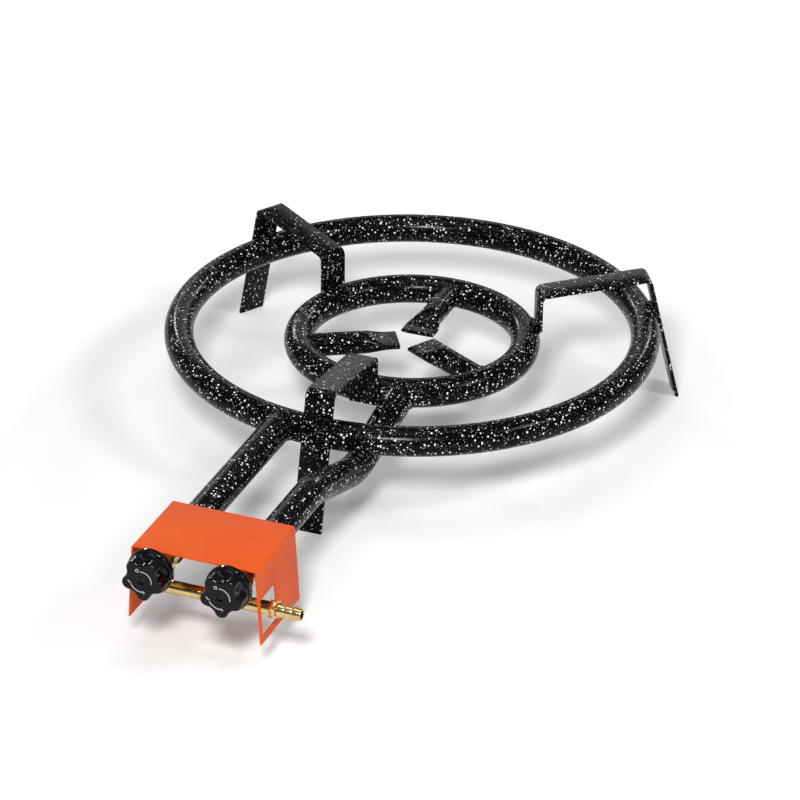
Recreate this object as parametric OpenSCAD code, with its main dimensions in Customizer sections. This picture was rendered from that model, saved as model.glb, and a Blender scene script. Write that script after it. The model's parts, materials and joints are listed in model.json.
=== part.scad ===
// Two-ring gas burner for a paella pan: enamelled tube rings carried by three welded pan supports,
// and a folded cover over two gas taps, their brass manifold and the hose nozzle.
// Millimetres, +Z up. The origin is on the floor, on the axis of the rings.
// The taps are at the -Y end.

/* [Rings] */
// Diameter of the outer ring on the tube's centre line
outer_ring_d = 400; // [360:5:460]
// Diameter of the inner ring on the tube's centre line
inner_ring_d = 195; // [180:5:220]
// Outside diameter of the ring tubes and the feed tubes
tube_d = 25; // [23:0.5:27]
// Wall of every tube
tube_wall = 1.5; // [1:0.1:2]
// Height of the outer ring's centre line above the floor
ring_height = 75; // [70:1:90]
// How far the inner ring lies below the outer ring
inner_drop = 10; // [4:1:14]
// Diameter of a flame port
port_d = 2; // [1.5:0.1:2.4]
// Pitch of the flame ports along each row of a ring
port_pitch = 24; // [23:1:40]
// How far each of the two staggered rows lies off the crown of its tube
crown_offset = 1.3; // [1:0.1:3]
// Lean of the third row towards the ring's axis, in degrees from the crown
side_row_lean = 48; // [36:1:60]

/* [Centre jets] */
// Outside diameter of the jet tubes inside the inner ring
jet_d = 20; // [16:0.5:22]
// How far a jet tube's axis lies above the inner ring's centre line
jet_rise = 0; // [0:0.5:2]
// Distance from the burner's axis to the pinched tips
jet_tip_radius = 12; // [11:0.5:18]
// Width of a pinched tip
jet_tip_w = 30; // [24:1:34]
// Thickness of a pinched tip
jet_tip_t = 3.6; // [3:0.2:6]
// Length of the flat part of a tip
jet_flat_l = 9; // [6:1:14]
// Length over which the round tube is pressed flat
jet_taper_l = 24; // [16:1:30]
// Flame ports in each of a jet's two rows
jet_ports = 4; // [1:1:4]
// Pitch of a jet's flame ports along each row
jet_port_pitch = 9; // [6:0.5:9]

/* [Pan supports] */
// Width of the supports' flat bar
bar_w = 25; // [20:1:28]
// Thickness of the supports' flat bar
bar_t = 3; // [2.5:0.5:5]
// Height of a support's outer top corner above the floor
support_h = 115.5; // [105:0.5:130]
// Fall of a support's top from its outer corner to its inner corner
support_fall = 11; // [4:0.5:14]
// Lean of the outer leg, in degrees
leg_lean = 14; // [8:0.5:18]
// Inside radius of the bar's bends
bar_bend_r = 4; // [3:0.5:8]
// How far the left and front inner legs reach below the inner ring's centre line
inner_leg_tail = 6; // [2:0.5:10]
// How far above the inner ring's centre line the shorter right inner leg ends
right_leg_rise = 6; // [2:0.5:8]
// Gap that a weld bridges between tubes and what is welded to them
weld_gap = 0.1; // [0.05:0.05:0.2]

/* [Feed tubes] */
// Distance between the two feed tubes and between the two taps
feed_spacing = 65; // [62:0.5:72]
// Sideways place of the pair's middle, from the rings' axis
feed_shift = -4.5; // [-6:0.5:-3.5]
// Distance from the outer ring's centre line to the mouths of the feed tubes
mouth_reach = 220; // [200:5:260]
// Distance from the outer ring's centre line to where the inner feed tube starts to dip
dip_reach = 92; // [80:1:110]
// Vertical gap between the inner feed tube and the outer ring that it passes under
dip_gap = 2; // [1:0.5:5]
// Radius of the inner feed tube's bends on its centre line
dip_bend_r = 70; // [55:1:80]

/* [Cover] */
// Width of the cover across its top
cover_w = 104; // [100:1:125]
// Depth of the cover from front to back
cover_depth = 75; // [68:1:90]
// Height of the cover
cover_h = 64; // [56:1:68]
// Thickness of the cover's sheet
cover_t = 1.5; // [1:0.1:2]
// Inside radius of the cover's folds
cover_bend_r = 0.5; // [0.5:0.25:3]
// How far each side plate spreads outward at its lower edge
cover_splay = 4; // [1:0.5:8]
// How far the cover's front edge stands in front of the feed tubes' mouths
cover_front = 26; // [22:0.5:30]
// Width of the strip in front of the window in the right side plate
window_front = 4; // [3:0.5:8]
// Length of the window
window_l = 28; // [26:0.5:34]
// Height of the strip below the window
window_sill = 6; // [4:0.5:10]
// Height of the window
window_h = 31; // [28:0.5:34]
// Gap between the cover and the tubes that it lies on
cover_seat = 0.1; // [0.05:0.05:0.3]

/* [Cover clamp] */
// Distance from the mouths of the feed tubes back to the clamp bar's middle
clamp_back = 34; // [30:1:36]
// Width of the clamp bar
clamp_w = 16; // [14:1:20]
// Thickness of the clamp bar
clamp_t = 3; // [2:0.5:4]
// Distance between the two clamp screws
clamp_pitch = 22; // [18:1:24]
// Diameter of the clamp screws
clamp_screw_d = 6; // [5:1:6]

/* [Taps] */
// Depth of the injector cups behind the mouths
cup_recess = 0.5; // [0.2:0.1:1]
// Length of an injector cup's rim
cup_l = 7; // [6:0.5:10]
// Thickness of an injector cup's sheet
cup_t = 1.6; // [1.2:0.1:2]
// Radial fit of the injector cup in its tube
cup_fit = 0.05; // [0.02:0.01:0.1]
// Diameter of the air holes in an injector cup
air_hole_d = 3.2; // [2.5:0.1:3.3]
// Diameter of the screw that holds an injector cup in its tube
cup_screw_d = 4; // [3:0.5:4]
// Diameter of the tap's outlet nose
nose_d = 12; // [10.5:0.5:13]
// Length of the tap's outlet nose
nose_l = 2.5; // [2:0.25:4]
// Diameter of the threaded outlet that carries the injector
outlet_d = 8; // [7:0.25:8]
// Diameter of the gas way through a tap
gas_way_d = 4.4; // [3.5:0.1:4.6]
// Diameter of the tap's barrel
barrel_d = 22; // [21:0.5:24]
// Length of the tap's barrel
barrel_l = 22; // [21:0.5:24]
// Diameter of the tap's front flange
flange_d = 28; // [27:0.5:30]
// Thickness of the tap's front flange
flange_t = 5; // [4:0.5:6]
// Thickness of the wall behind the plug
barrel_wall = 2.5; // [2:0.25:3]
// Diameter of the plug at its wide end
plug_d = 14; // [13:0.25:15]
// Diameter of the plug at its narrow end
plug_tip_d = 12; // [11:0.25:12.5]
// Length of the plug
plug_l = 13; // [12.5:0.25:13.5]
// Radial running clearance of the plug, spindle and bonnet
run_fit = 0.05; // [0.02:0.01:0.08]
// Thickness of the bonnet
bonnet_t = 3; // [2.5:0.25:4]
// Distance from the tap's axis to each bonnet screw
bonnet_screw_r = 10.8; // [10.5:0.1:11.2]
// Diameter of the bonnet screws
bonnet_screw_d = 3; // [2.5:0.5:3]
// Diameter of the spindle
spindle_d = 8; // [7:0.25:8.5]
// Diameter of the spindle's collar
collar_d = 12; // [11:0.25:13]
// Thickness of the spindle's collar
collar_t = 1.8; // [1.5:0.1:2]
// Thickness of the spindle's tongue
tongue_t = 3; // [2.5:0.1:3.4]
// Width of the spindle's tongue
tongue_w = 7.6; // [6.5:0.1:8]
// How far the knob can be pushed in
push_travel = 2.5; // [1.5:0.25:2.5]
// Wire of the return spring
spring_wire = 0.6; // [0.4:0.1:0.7]
// Mean diameter of the return spring
spring_d = 10; // [9.5:0.1:10.5]
// Turns of the return spring
spring_turns = 3; // [2:1:3]

/* [Knobs] */
// Length of a knob
knob_l = 19; // [17:0.5:24]
// Free gap between a pushed knob and the bonnet
knob_gap = 1.5; // [1:0.25:3]
// Diameter across a knob's lobes
knob_d = 35.5; // [32:0.5:38]
// Diameter of the circle that touches the bottoms of the hollows
knob_waist_d = 27; // [25:0.5:30]
// Radius of a lobe
lobe_r = 5.5; // [5:0.25:6.5]
// Number of lobes
lobes = 5; // [5:1:6]
// Diameter of the round skirt
skirt_d = 37.5; // [37:0.5:41]
// Length of the round skirt
skirt_l = 6; // [4:0.5:7]
// Wall of the skirt
skirt_wall = 2.5; // [2:0.25:3]
// Diameter of the hub inside a knob
hub_d = 14; // [12:0.5:14.5]
// Depth of the recess over the knob screw
knob_recess = 3; // [2:0.25:4]
// Thickness of the web under the knob screw's head
knob_web = 2; // [1.5:0.25:3]
// Diameter of the knob screw
knob_screw_d = 3; // [2.5:0.5:3]

/* [Manifold and nozzle] */
// Outside diameter of the brass manifold pipe
pipe_d = 11; // [10:0.5:13]
// Wall of the manifold pipe
pipe_wall = 1.5; // [1.25:0.25:2]
// How far the pipe lies below the taps' axes
pipe_drop = 26.5; // [24:0.5:30]
// How far the pipe reaches past the left tap
pipe_tail = 10; // [9:0.5:12]
// Diameter of the boss that joins a tap to the pipe
tail_d = 13; // [12:0.5:14]
// Diameter of the spigot that enters the pipe
spigot_d = 7; // [6:0.25:7.5]
// Thickness of the end cap's head
cap_t = 4; // [3:0.5:5]
// Distance across the flats of the cap and the nozzle's collar
hex_af = 14; // [13:0.5:16]
// Gap between the right side plate and the nozzle's collar
collar_gap = 1.5; // [1:0.5:4]
// Length of the nozzle's collar
nozzle_collar_l = 6; // [5:0.5:8]
// Length of the barbed end
barb_l = 20; // [18:0.5:28]
// Diameter over the barbs
barb_d = 11.5; // [10.5:0.25:12.5]
// Diameter between the barbs
barb_root_d = 9.5; // [8.5:0.25:10]
// Length of the round land at the head of each barb
barb_land = 1.5; // [1:0.25:2.5]
// Number of barbs
barbs = 3; // [2:1:4]
// Bore of the nozzle
nozzle_bore_d = 5; // [4:0.25:5.5]
// Length of the threaded ends inside the pipe
thread_l = 8; // [6:0.5:9]
// Fit of the threaded ends in the pipe, and of screws in their holes
thread_fit = 0.05; // [0.03:0.01:0.1]

/* [Hidden] */
$fn = 64;
eps = 0.01;
past = 1;
bend_lap = 0.5;
bend_swell = 0.05;
strip_lap = 0.3;
inlet_land = 1;
jet_step = 0.1;
jet_port_lead = 4;
port_shift = 0.25;
dip_corner = 0.03;

// Screw proportions, as multiples of the screw's diameter
head_d_ratio = 1.7;
head_h_ratio = 0.5;
slot_ratio = 0.3;
hex_af_ratio = 1.6;
hex_head_ratio = 0.65;
nut_h_ratio = 0.8;

tube_r = tube_d / 2;
bore_r = tube_r - tube_wall;
outer_r = outer_ring_d / 2;
inner_r = inner_ring_d / 2;
inner_z = ring_height - inner_drop;
support_angles = [30, 150, 270];
jet_angles = [90, 210, 330];

left_x = feed_shift - feed_spacing / 2;
right_x = feed_shift + feed_spacing / 2;
axis_z = ring_height;
mouth_y = -outer_r - mouth_reach;

cup_y = mouth_y + cup_recess;
barrel_back_y = cup_y - nose_l;
barrel_front_y = barrel_back_y - barrel_l;
bonnet_front_y = barrel_front_y - bonnet_t;
knob_back_y = bonnet_front_y - push_travel - knob_gap;
knob_face_y = knob_back_y - knob_l;
skirt_front_y = knob_back_y - skirt_l;

plug_gap = 0.3;
plug_back_y = barrel_back_y - barrel_wall - plug_gap;
plug_front_y = plug_back_y - plug_l;
port_back_wall = 1.6;
port_front_wall = 1.2;
port_y = plug_back_y - gas_way_d / 2 - port_back_wall;
slot_floor_y = port_y - gas_way_d / 2 - port_front_wall;
chamber_step = 1;
chamber_d = plug_d + 2 * chamber_step;
low_port_d = gas_way_d / 3;
screw_floor = 1;
flange_half_h = tube_r - 2 * plug_gap;
collar_front_y = barrel_front_y + plug_gap;
collar_back_y = collar_front_y + collar_t;
tongue_end_y = slot_floor_y - push_travel - plug_gap;
tongue_fit = 0.1;
spindle_end_y = knob_face_y + knob_recess + knob_web;
flat_depth = spindle_d / 8;
knob_screw_l = 8;
knob_recess_d = 2 * knob_screw_d;
first_lobe_angle = 56;
spring_steps = 12;
spring_sides = 6;

outlet_l = 4;
injector_hex_l = 5;
injector_tip_l = 4;
injector_wall = 1.5;
orifice_d = 1;

pipe_r = pipe_d / 2;
pipe_bore_r = pipe_r - pipe_wall;
pipe_z = axis_z - pipe_drop;
pipe_left_x = left_x - pipe_tail;

cover_under_z = axis_z + tube_r + cover_seat;
cover_top_z = cover_under_z + cover_t;
cover_low_z = cover_top_z - cover_h;
cover_front_y = mouth_y - cover_front;
cover_back_y = cover_front_y + cover_depth;
cover_fold_r = cover_bend_r + cover_t;
plate_x_at_pipe = feed_shift + cover_w / 2 + cover_splay * (cover_top_z - pipe_z) / cover_h;
collar_x = plate_x_at_pipe + collar_gap;
barb_x = collar_x + nozzle_collar_l;

clamp_y = mouth_y + clamp_back;
clamp_top_z = axis_z - tube_r - cover_seat;
clamp_end = 7.5;
clamp_l = feed_spacing + 2 * clamp_end;
clamp_head_h = clamp_screw_d * hex_head_ratio;
clamp_nut_h = clamp_screw_d * nut_h_ratio;

enamel = [0.06, 0.06, 0.07];
paint = [0.90, 0.36, 0.17];
brass = [0.80, 0.63, 0.28];
zinc_yellow = [0.66, 0.60, 0.40];
steel = [0.70, 0.71, 0.73];
bakelite = [0.10, 0.10, 0.11];
black_steel = [0.20, 0.20, 0.21];

function unit(v) = v / norm(v);
function left_of(v) = [-v[1], v[0]];
function heading(v) = atan2(v[1], v[0]);
// Turn of a path at point i, positive to the left
function turn_at(path, i) =
    let (a = path[i] - path[i - 1], b = path[i + 1] - path[i])
    atan2(a[0] * b[1] - a[1] * b[0], a[0] * b[0] + a[1] * b[1]);
// Length that a bend of radius r takes from each side of point i
function bend_cut(path, i, r) =
    i == 0 || i == len(path) - 1 ? 0 : r * tan(abs(turn_at(path, i)) / 2);

// Turns a shape whose axis is +Z so that it points along +Y
module along_y() { rotate([-90, 0, 0]) children(); }

// Turns a shape whose axis is +Z so that it points along +X
module along_x() { rotate([0, 90, 0]) children(); }

// Solid torus round the burner's axis
module torus(ring_r, z, r) {
    translate([0, 0, z]) rotate_extrude(convexity = 4) translate([ring_r, 0]) circle(r);
}

// Straight piece along +Y from y0 to y1
module rod_y(x, z, y0, y1, d) {
    translate([x, y0, z]) along_y() cylinder(h = y1 - y0, d = d);
}

// Straight piece along +X from x0 to x1
module rod_x(y, z, x0, x1, d) {
    translate([x0, y, z]) along_x() cylinder(h = x1 - x0, d = d);
}

// Hexagonal bar along +Z, by the distance across its flats
module hex_bar(af, h) { cylinder(h = h, d = af / cos(30), $fn = 6); }

// Folded strip in the plane: path runs along its outer face and turns to the left.
// Its flat stretches lap into the bends, which are a hair thicker.
module folded_strip(path, t, outer_bend_r) {
    last = len(path) - 1;
    for (i = [0:last - 1]) {
        step = path[i + 1] - path[i];
        start = bend_cut(path, i, outer_bend_r) - (i > 0 ? strip_lap : 0);
        stop = norm(step) - bend_cut(path, i + 1, outer_bend_r) + (i < last - 1 ? strip_lap : 0);
        translate(path[i] + unit(step) * start) rotate(heading(step)) square([stop - start, t]);
    }
    for (i = [1:last - 1]) {
        dir = unit(path[i] - path[i - 1]);
        turn = turn_at(path, i);
        centre = path[i] - dir * bend_cut(path, i, outer_bend_r) + left_of(dir) * outer_bend_r;
        from = heading(-left_of(dir));
        reach = 2 * outer_bend_r;
        translate(centre) intersection() {
            difference() {
                circle(outer_bend_r + bend_swell);
                circle(outer_bend_r - t - bend_swell);
            }
            polygon([[0, 0], for (k = [0:3]) reach * [cos(from + turn * k / 3), sin(from + turn * k / 3)]]);
        }
    }
}

// Round bar bent in the plane along a path: its straight stretches lap into the bends
module bent_bar(path, bend_r, r) {
    last = len(path) - 1;
    for (i = [0:last - 1]) {
        step = path[i + 1] - path[i];
        start = bend_cut(path, i, bend_r) - (i > 0 ? bend_lap : 0);
        stop = norm(step) - bend_cut(path, i + 1, bend_r) + (i < last - 1 ? bend_lap : 0);
        translate(path[i] + unit(step) * start) rotate(heading(step)) along_x()
            cylinder(h = stop - start, r = r);
    }
    for (i = [1:last - 1]) {
        dir = unit(path[i] - path[i - 1]);
        turn = turn_at(path, i);
        side = turn > 0 ? left_of(dir) : -left_of(dir);
        centre = path[i] - dir * bend_cut(path, i, bend_r) + side * bend_r;
        from = heading(-side) + min(turn, 0);
        translate(centre) rotate(from) rotate_extrude(angle = abs(turn)) translate([bend_r, 0])
            circle(r + bend_swell);
    }
}

// Angles of a row of flame ports round a ring, the whole row turned by a share of its pitch
function port_angles(ring_r, shift) =
    let (count = round(2 * PI * ring_r / port_pitch))
    [for (i = [0:count - 1]) (i + shift) * 360 / count];
// Whether a place on the inner ring is clear of the jets' joints
function clear_of_jets(angle) =
    (inner_r - tube_r) * min([for (a = jet_angles) 2 * abs(sin((angle - a) / 2))]) > jet_d / 2;

// Cutter for a flame port on the crown of a ring tube whose axis is at the origin
module port_cut() {
    translate([0, 0, bore_r - past]) rotate([0, 0, 45])
        cylinder(h = tube_wall + 2 * past, d = port_d, $fn = 24);
}

// Two staggered rows of flame ports on a ring's crown
module crown_ports(ring_r, z) {
    for (side = [0, 1], a = port_angles(ring_r, port_shift + side / 2)) rotate([0, 0, a])
        translate([ring_r + (1 - 2 * side) * crown_offset, 0, z]) port_cut();
}

// Row of flame ports at given angles on a ring's inner side
module side_ports(ring_r, z, angles) {
    for (a = angles) rotate([0, 0, a]) translate([ring_r, 0, z]) rotate([0, -side_row_lean, 0]) port_cut();
}

// Hollow ring tube
module ring_tube(ring_r, z) {
    translate([0, 0, z]) rotate_extrude(convexity = 6) translate([ring_r, 0]) difference() {
        circle(tube_r);
        circle(bore_r);
    }
}

module outer_ring() {
    color(enamel) difference() {
        ring_tube(outer_r, ring_height);
        crown_ports(outer_r, ring_height);
        side_ports(outer_r, ring_height, port_angles(outer_r, port_shift));
        rod_y(left_x, axis_z, -outer_r - tube_d, -outer_r + past, 2 * (bore_r - inlet_land));
    }
}

module inner_ring() {
    color(enamel) difference() {
        ring_tube(inner_r, inner_z);
        crown_ports(inner_r, inner_z);
        side_ports(inner_r, inner_z, [for (a = port_angles(inner_r, port_shift)) if (clear_of_jets(a)) a]);
        inner_feed_path(bore_r - inlet_land);
        for (a = jet_angles) rotate([0, 0, a])
            rod_radial(inner_r - tube_d, inner_r - past, jet_d - 2 * (tube_wall + inlet_land));
    }
}

// Round piece on a jet's axis, from radius r0 to radius r1, before it is turned to its place
module rod_radial(r0, r1, d) {
    rod_x(0, inner_z + jet_rise, r0, r1, d);
}

// Dead-end tube whose tip is pinched flat
module jet(angle) {
    flat_end = jet_tip_radius + jet_flat_l;
    taper_end = flat_end + jet_taper_l;
    jet_z = inner_z + jet_rise;
    first_port = taper_end + jet_port_lead;
    edge = jet_tip_w / 2 - jet_tip_t / 2;
    color(enamel) rotate([0, 0, angle]) difference() {
        union() {
            rod_radial(taper_end, inner_r, jet_d);
            hull() {
                rod_x(0, jet_z, taper_end, taper_end + bend_lap, jet_d - 2 * jet_step, $fn = 32);
                for (s = [-1, 1]) translate([0, s * edge, 0])
                    rod_x(0, inner_z, flat_end - bend_lap, flat_end, jet_tip_t - 2 * jet_step, $fn = 32);
            }
            translate([jet_tip_radius, 0, inner_z]) rotate([90, 0, 90]) linear_extrude(jet_flat_l) {
                square([2 * edge, jet_tip_t], center = true);
                for (s = [-1, 1]) translate([s * edge, 0]) circle(d = jet_tip_t);
            }
        }
        rod_radial(taper_end + past, inner_r + past, jet_d - 2 * tube_wall);
        torus(inner_r, inner_z, tube_r + weld_gap);
        for (side = [0, 1], i = [0:jet_ports - 1])
            translate([first_port + (i + side / 2) * jet_port_pitch, (1 - 2 * side) * crown_offset, jet_z])
                cylinder(h = jet_d, d = port_d, $fn = 24);
    }
}

module back_jet() { jet(jet_angles[0]); }
module left_jet() { jet(jet_angles[1]); }
module right_jet() { jet(jet_angles[2]); }

// Radius of the outer leg's outer face at height z: its inner face touches the outer ring
function leg_r(z) =
    outer_r + (tube_r + weld_gap + bar_t - (z - ring_height) * sin(leg_lean)) / cos(leg_lean);

// Flat bar folded into a leg, a sloping rest for the pan and a short leg on the inner ring
// that ends at leg_end_z. A leg that ends above the ring's centre line stands against its shoulder.
module pan_support(angle, leg_end_z) {
    rise = max(leg_end_z - inner_z, 0);
    inner_face = inner_r + sqrt(tube_r * tube_r - rise * rise) + weld_gap;
    path = [
        [leg_r(0), 0],
        [leg_r(support_h), support_h],
        [inner_face, support_h - support_fall],
        [inner_face, leg_end_z]
    ];
    color(enamel) rotate([0, 0, angle]) intersection() {
        rotate([90, 0, 0]) translate([0, 0, -bar_w / 2]) linear_extrude(bar_w)
            folded_strip(concat([path[0] - (path[1] - path[0]) / support_h], slice_from(path, 1)), bar_t,
                bar_bend_r + bar_t);
        translate([0, -bar_w, 0]) cube([2 * outer_r, 2 * bar_w, 2 * support_h]);
    }
}

// The points of a path from index i on
function slice_from(path, i) = [for (k = [i:len(path) - 1]) path[k]];

module right_pan_support() { pan_support(support_angles[0], inner_z + right_leg_rise); }
module left_pan_support() { pan_support(support_angles[1], inner_z - inner_leg_tail); }
module front_pan_support() { pan_support(support_angles[2], inner_z - inner_leg_tail); }

// Round hole from below for the screw that holds an injector cup
module cup_screw_hole(x, d) {
    translate([x, cup_y + cup_l / 2 + cup_t / 2, axis_z - tube_r - past])
        cylinder(h = tube_wall + cup_t + cup_fit + 2 * past, d = d);
}

module outer_feed_tube() {
    joint_y = -sqrt(outer_r * outer_r - left_x * left_x);
    color(enamel) difference() {
        rod_y(left_x, axis_z, mouth_y, joint_y, tube_d);
        rod_y(left_x, axis_z, mouth_y - past, joint_y + past, 2 * bore_r);
        torus(outer_r, ring_height, tube_r + weld_gap);
        cup_screw_hole(left_x, cup_screw_d + 2 * thread_fit);
    }
}

// The inner feed tube's centre line dips under the outer ring and climbs to the inner ring
module inner_feed_path(r, start_y = mouth_y) {
    joint_y = -sqrt(inner_r * inner_r - right_x * right_x);
    low_z = ring_height - tube_d - dip_gap - dip_bend_r * dip_corner;
    translate([right_x, 0, 0]) rotate([90, 0, 90])
        bent_bar([[start_y, axis_z], [-outer_r - dip_reach, axis_z], [-outer_r, low_z], [joint_y, inner_z]],
            dip_bend_r, r);
}

module inner_feed_tube() {
    color(enamel) difference() {
        inner_feed_path(tube_r);
        inner_feed_path(bore_r, mouth_y - past);
        torus(inner_r, inner_z, tube_r + weld_gap);
        cup_screw_hole(right_x, cup_screw_d + 2 * thread_fit);
    }
}

// Sheet folded over the taps, with a window for the pipe in its right side plate
module control_cover() {
    half = cover_w / 2;
    path = [
        [half + cover_splay, cover_low_z],
        [half, cover_top_z],
        [-half, cover_top_z],
        [-half - cover_splay, cover_low_z]
    ];
    color(paint) difference() {
        translate([feed_shift, cover_back_y, 0]) rotate([90, 0, 0]) linear_extrude(cover_depth)
            folded_strip(path, cover_t, cover_fold_r);
        translate([feed_shift + half, cover_front_y + window_front, cover_low_z + window_sill])
            translate([-2 * cover_t, 0, 0]) cube([cover_splay + 4 * cover_t, window_l, window_h]);
    }
}

module cover_clamp_bar() {
    color(steel) difference() {
        translate([feed_shift - clamp_l / 2, clamp_y - clamp_w / 2, clamp_top_z - clamp_t])
            cube([clamp_l, clamp_w, clamp_t]);
        at_clamp_screws() translate([0, 0, clamp_top_z - clamp_t - past])
            cylinder(h = clamp_t + 2 * past, d = clamp_screw_d + 2 * thread_fit);
    }
}

module at_clamp_screws() {
    for (s = [-1, 1]) translate([feed_shift + s * clamp_pitch / 2, clamp_y, 0]) children();
}

module cover_clamp_screws() {
    color(steel) at_clamp_screws() {
        translate([0, 0, clamp_top_z - clamp_t - clamp_head_h])
            hex_bar(clamp_screw_d * hex_af_ratio, clamp_head_h);
        translate([0, 0, clamp_top_z - clamp_t])
            cylinder(h = cover_under_z - clamp_top_z + clamp_t - plug_gap, d = clamp_screw_d);
    }
}

module cover_weld_nuts() {
    color(steel) at_clamp_screws() translate([0, 0, cover_under_z - clamp_nut_h]) difference() {
        hex_bar(clamp_screw_d * hex_af_ratio, clamp_nut_h);
        translate([0, 0, -past]) cylinder(h = clamp_nut_h + 2 * past, d = clamp_screw_d + 2 * thread_fit);
    }
}

// Cup in the mouth of a feed tube: it carries the tap and lets air in round the injector
module injector_cup(x) {
    cup_r = bore_r - cup_fit;
    air_r = (nose_d / 2 + cup_r - cup_t) / 2;
    color(zinc_yellow) difference() {
        rod_y(x, axis_z, cup_y, cup_y + cup_l, 2 * cup_r);
        rod_y(x, axis_z, cup_y + cup_t, cup_y + cup_l + past, 2 * (cup_r - cup_t));
        rod_y(x, axis_z, cup_y - past, cup_y + cup_l, outlet_d + 2 * thread_fit);
        for (a = [0:90:270]) translate([x + air_r * cos(a), 0, axis_z + air_r * sin(a)])
            rod_y(0, 0, cup_y - past, cup_y + cup_t + past, air_hole_d);
        cup_screw_hole(x, cup_screw_d + 2 * thread_fit);
    }
}

module left_injector_cup() { injector_cup(left_x); }
module right_injector_cup() { injector_cup(right_x); }

module injector_cup_screws() {
    head_h = cup_screw_d * head_h_ratio;
    color(steel) for (x = [left_x, right_x])
        translate([x, cup_y + cup_l / 2 + cup_t / 2, axis_z - tube_r]) {
            cylinder(h = tube_wall + cup_t + cup_fit, d = cup_screw_d);
            translate([0, 0, -head_h]) cylinder(h = head_h, d = cup_screw_d * head_d_ratio);
        }
}

// Jet that screws on to the tap's outlet behind the cup
module injector(x) {
    front = cup_y + cup_t;
    hex_end = front + injector_hex_l;
    color(brass) difference() {
        union() {
            translate([x, front, axis_z]) along_y() hex_bar(outlet_d + 2 * injector_wall, injector_hex_l);
            translate([x, hex_end, axis_z]) along_y()
                cylinder(h = injector_tip_l, d1 = outlet_d, d2 = outlet_d / 2);
        }
        rod_y(x, axis_z, front - past, hex_end - past, outlet_d + 2 * thread_fit);
        rod_y(x, axis_z, front, hex_end + injector_tip_l + past, orifice_d);
    }
}

module left_injector() { injector(left_x); }
module right_injector() { injector(right_x); }

// Conical seat or plug, wide end to the front
module plug_cone(x, grow, y0, y1) {
    slope = (plug_tip_d - plug_d) / plug_l;
    translate([x, y0, axis_z]) along_y() cylinder(
        h = y1 - y0,
        d1 = plug_d + 2 * grow + slope * (y0 - plug_front_y),
        d2 = plug_d + 2 * grow + slope * (y1 - plug_front_y)
    );
}

// The two screws of a bonnet
module at_bonnet_screws(x) {
    for (s = [-1, 1]) translate([x + s * bonnet_screw_r, 0, axis_z]) children();
}

// Round flange cut flat above and below, so that it clears the cover
module flange(x, y0, y1) {
    intersection() {
        rod_y(x, axis_z, y0, y1, flange_d);
        translate([x - flange_d, y0 - past, axis_z - flange_half_h])
            cube([2 * flange_d, y1 - y0 + 2 * past, 2 * flange_half_h]);
    }
}

module tap_body(x) {
    outlet_end = cup_y + cup_t + outlet_l;
    screw_depth = flange_t - screw_floor;
    color(brass) difference() {
        union() {
            rod_y(x, axis_z, barrel_front_y, barrel_back_y, barrel_d);
            flange(x, barrel_front_y, barrel_front_y + flange_t);
            rod_y(x, axis_z, barrel_back_y - eps, cup_y, nose_d);
            rod_y(x, axis_z, cup_y - eps, outlet_end - plug_gap, outlet_d);
            difference() {
                translate([x, port_y, pipe_z]) cylinder(h = pipe_drop, d = tail_d);
                rod_x(port_y, pipe_z, x - tail_d, x + tail_d, pipe_d + 2 * thread_fit);
            }
            translate([x, port_y, pipe_z + pipe_bore_r])
                cylinder(h = pipe_drop - pipe_bore_r, d = spigot_d);
        }
        rod_y(x, axis_z, barrel_front_y - past, plug_front_y, chamber_d);
        plug_cone(x, run_fit, plug_front_y - eps, plug_back_y + plug_gap);
        rod_y(x, axis_z, plug_back_y, outlet_end + past, gas_way_d);
        translate([x, port_y, pipe_z]) cylinder(h = pipe_drop, d = gas_way_d);
        at_bonnet_screws(x) rod_y(0, 0, barrel_front_y - past, barrel_front_y + screw_depth,
            bonnet_screw_d + 2 * thread_fit);
    }
}

module left_tap_body() { tap_body(left_x); }
module right_tap_body() { tap_body(right_x); }

// Taper plug: its main port faces sideways when shut, and its small port gives the low flame
module tap_plug(x) {
    slot_w = tongue_w + 2 * tongue_fit;
    slot_t = tongue_t + 2 * tongue_fit;
    color(brass) difference() {
        plug_cone(x, 0, plug_front_y, plug_back_y);
        translate([x - slot_t / 2, plug_front_y - past, axis_z - slot_w / 2])
            cube([slot_t, slot_floor_y - plug_front_y + past, slot_w]);
        rod_y(x, axis_z, port_y, plug_back_y + past, gas_way_d);
        rod_x(port_y, axis_z, x - plug_d, x, gas_way_d);
        translate([x, port_y, axis_z]) cylinder(h = plug_d, d = low_port_d);
    }
}

module left_tap_plug() { tap_plug(left_x); }
module right_tap_plug() { tap_plug(right_x); }

module tap_bonnet(x) {
    color(zinc_yellow) difference() {
        flange(x, bonnet_front_y, barrel_front_y);
        rod_y(x, axis_z, bonnet_front_y - past, barrel_front_y + past, spindle_d + 2 * run_fit);
        at_bonnet_screws(x) rod_y(0, 0, bonnet_front_y - past, barrel_front_y + past,
            bonnet_screw_d + 2 * thread_fit);
    }
}

module left_tap_bonnet() { tap_bonnet(left_x); }
module right_tap_bonnet() { tap_bonnet(right_x); }

module bonnet_screws(x) {
    head_h = bonnet_screw_d * head_h_ratio;
    head_d = bonnet_screw_d * head_d_ratio;
    slot = [head_d + past, head_h, bonnet_screw_d * slot_ratio];
    color(steel) at_bonnet_screws(x) difference() {
        union() {
            rod_y(0, 0, bonnet_front_y, barrel_front_y + flange_t - screw_floor - plug_gap, bonnet_screw_d);
            rod_y(0, 0, bonnet_front_y - head_h, bonnet_front_y, head_d);
        }
        translate([0, bonnet_front_y - head_h, 0]) cube(slot, center = true);
    }
}

module left_bonnet_screws() { bonnet_screws(left_x); }
module right_bonnet_screws() { bonnet_screws(right_x); }

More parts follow.
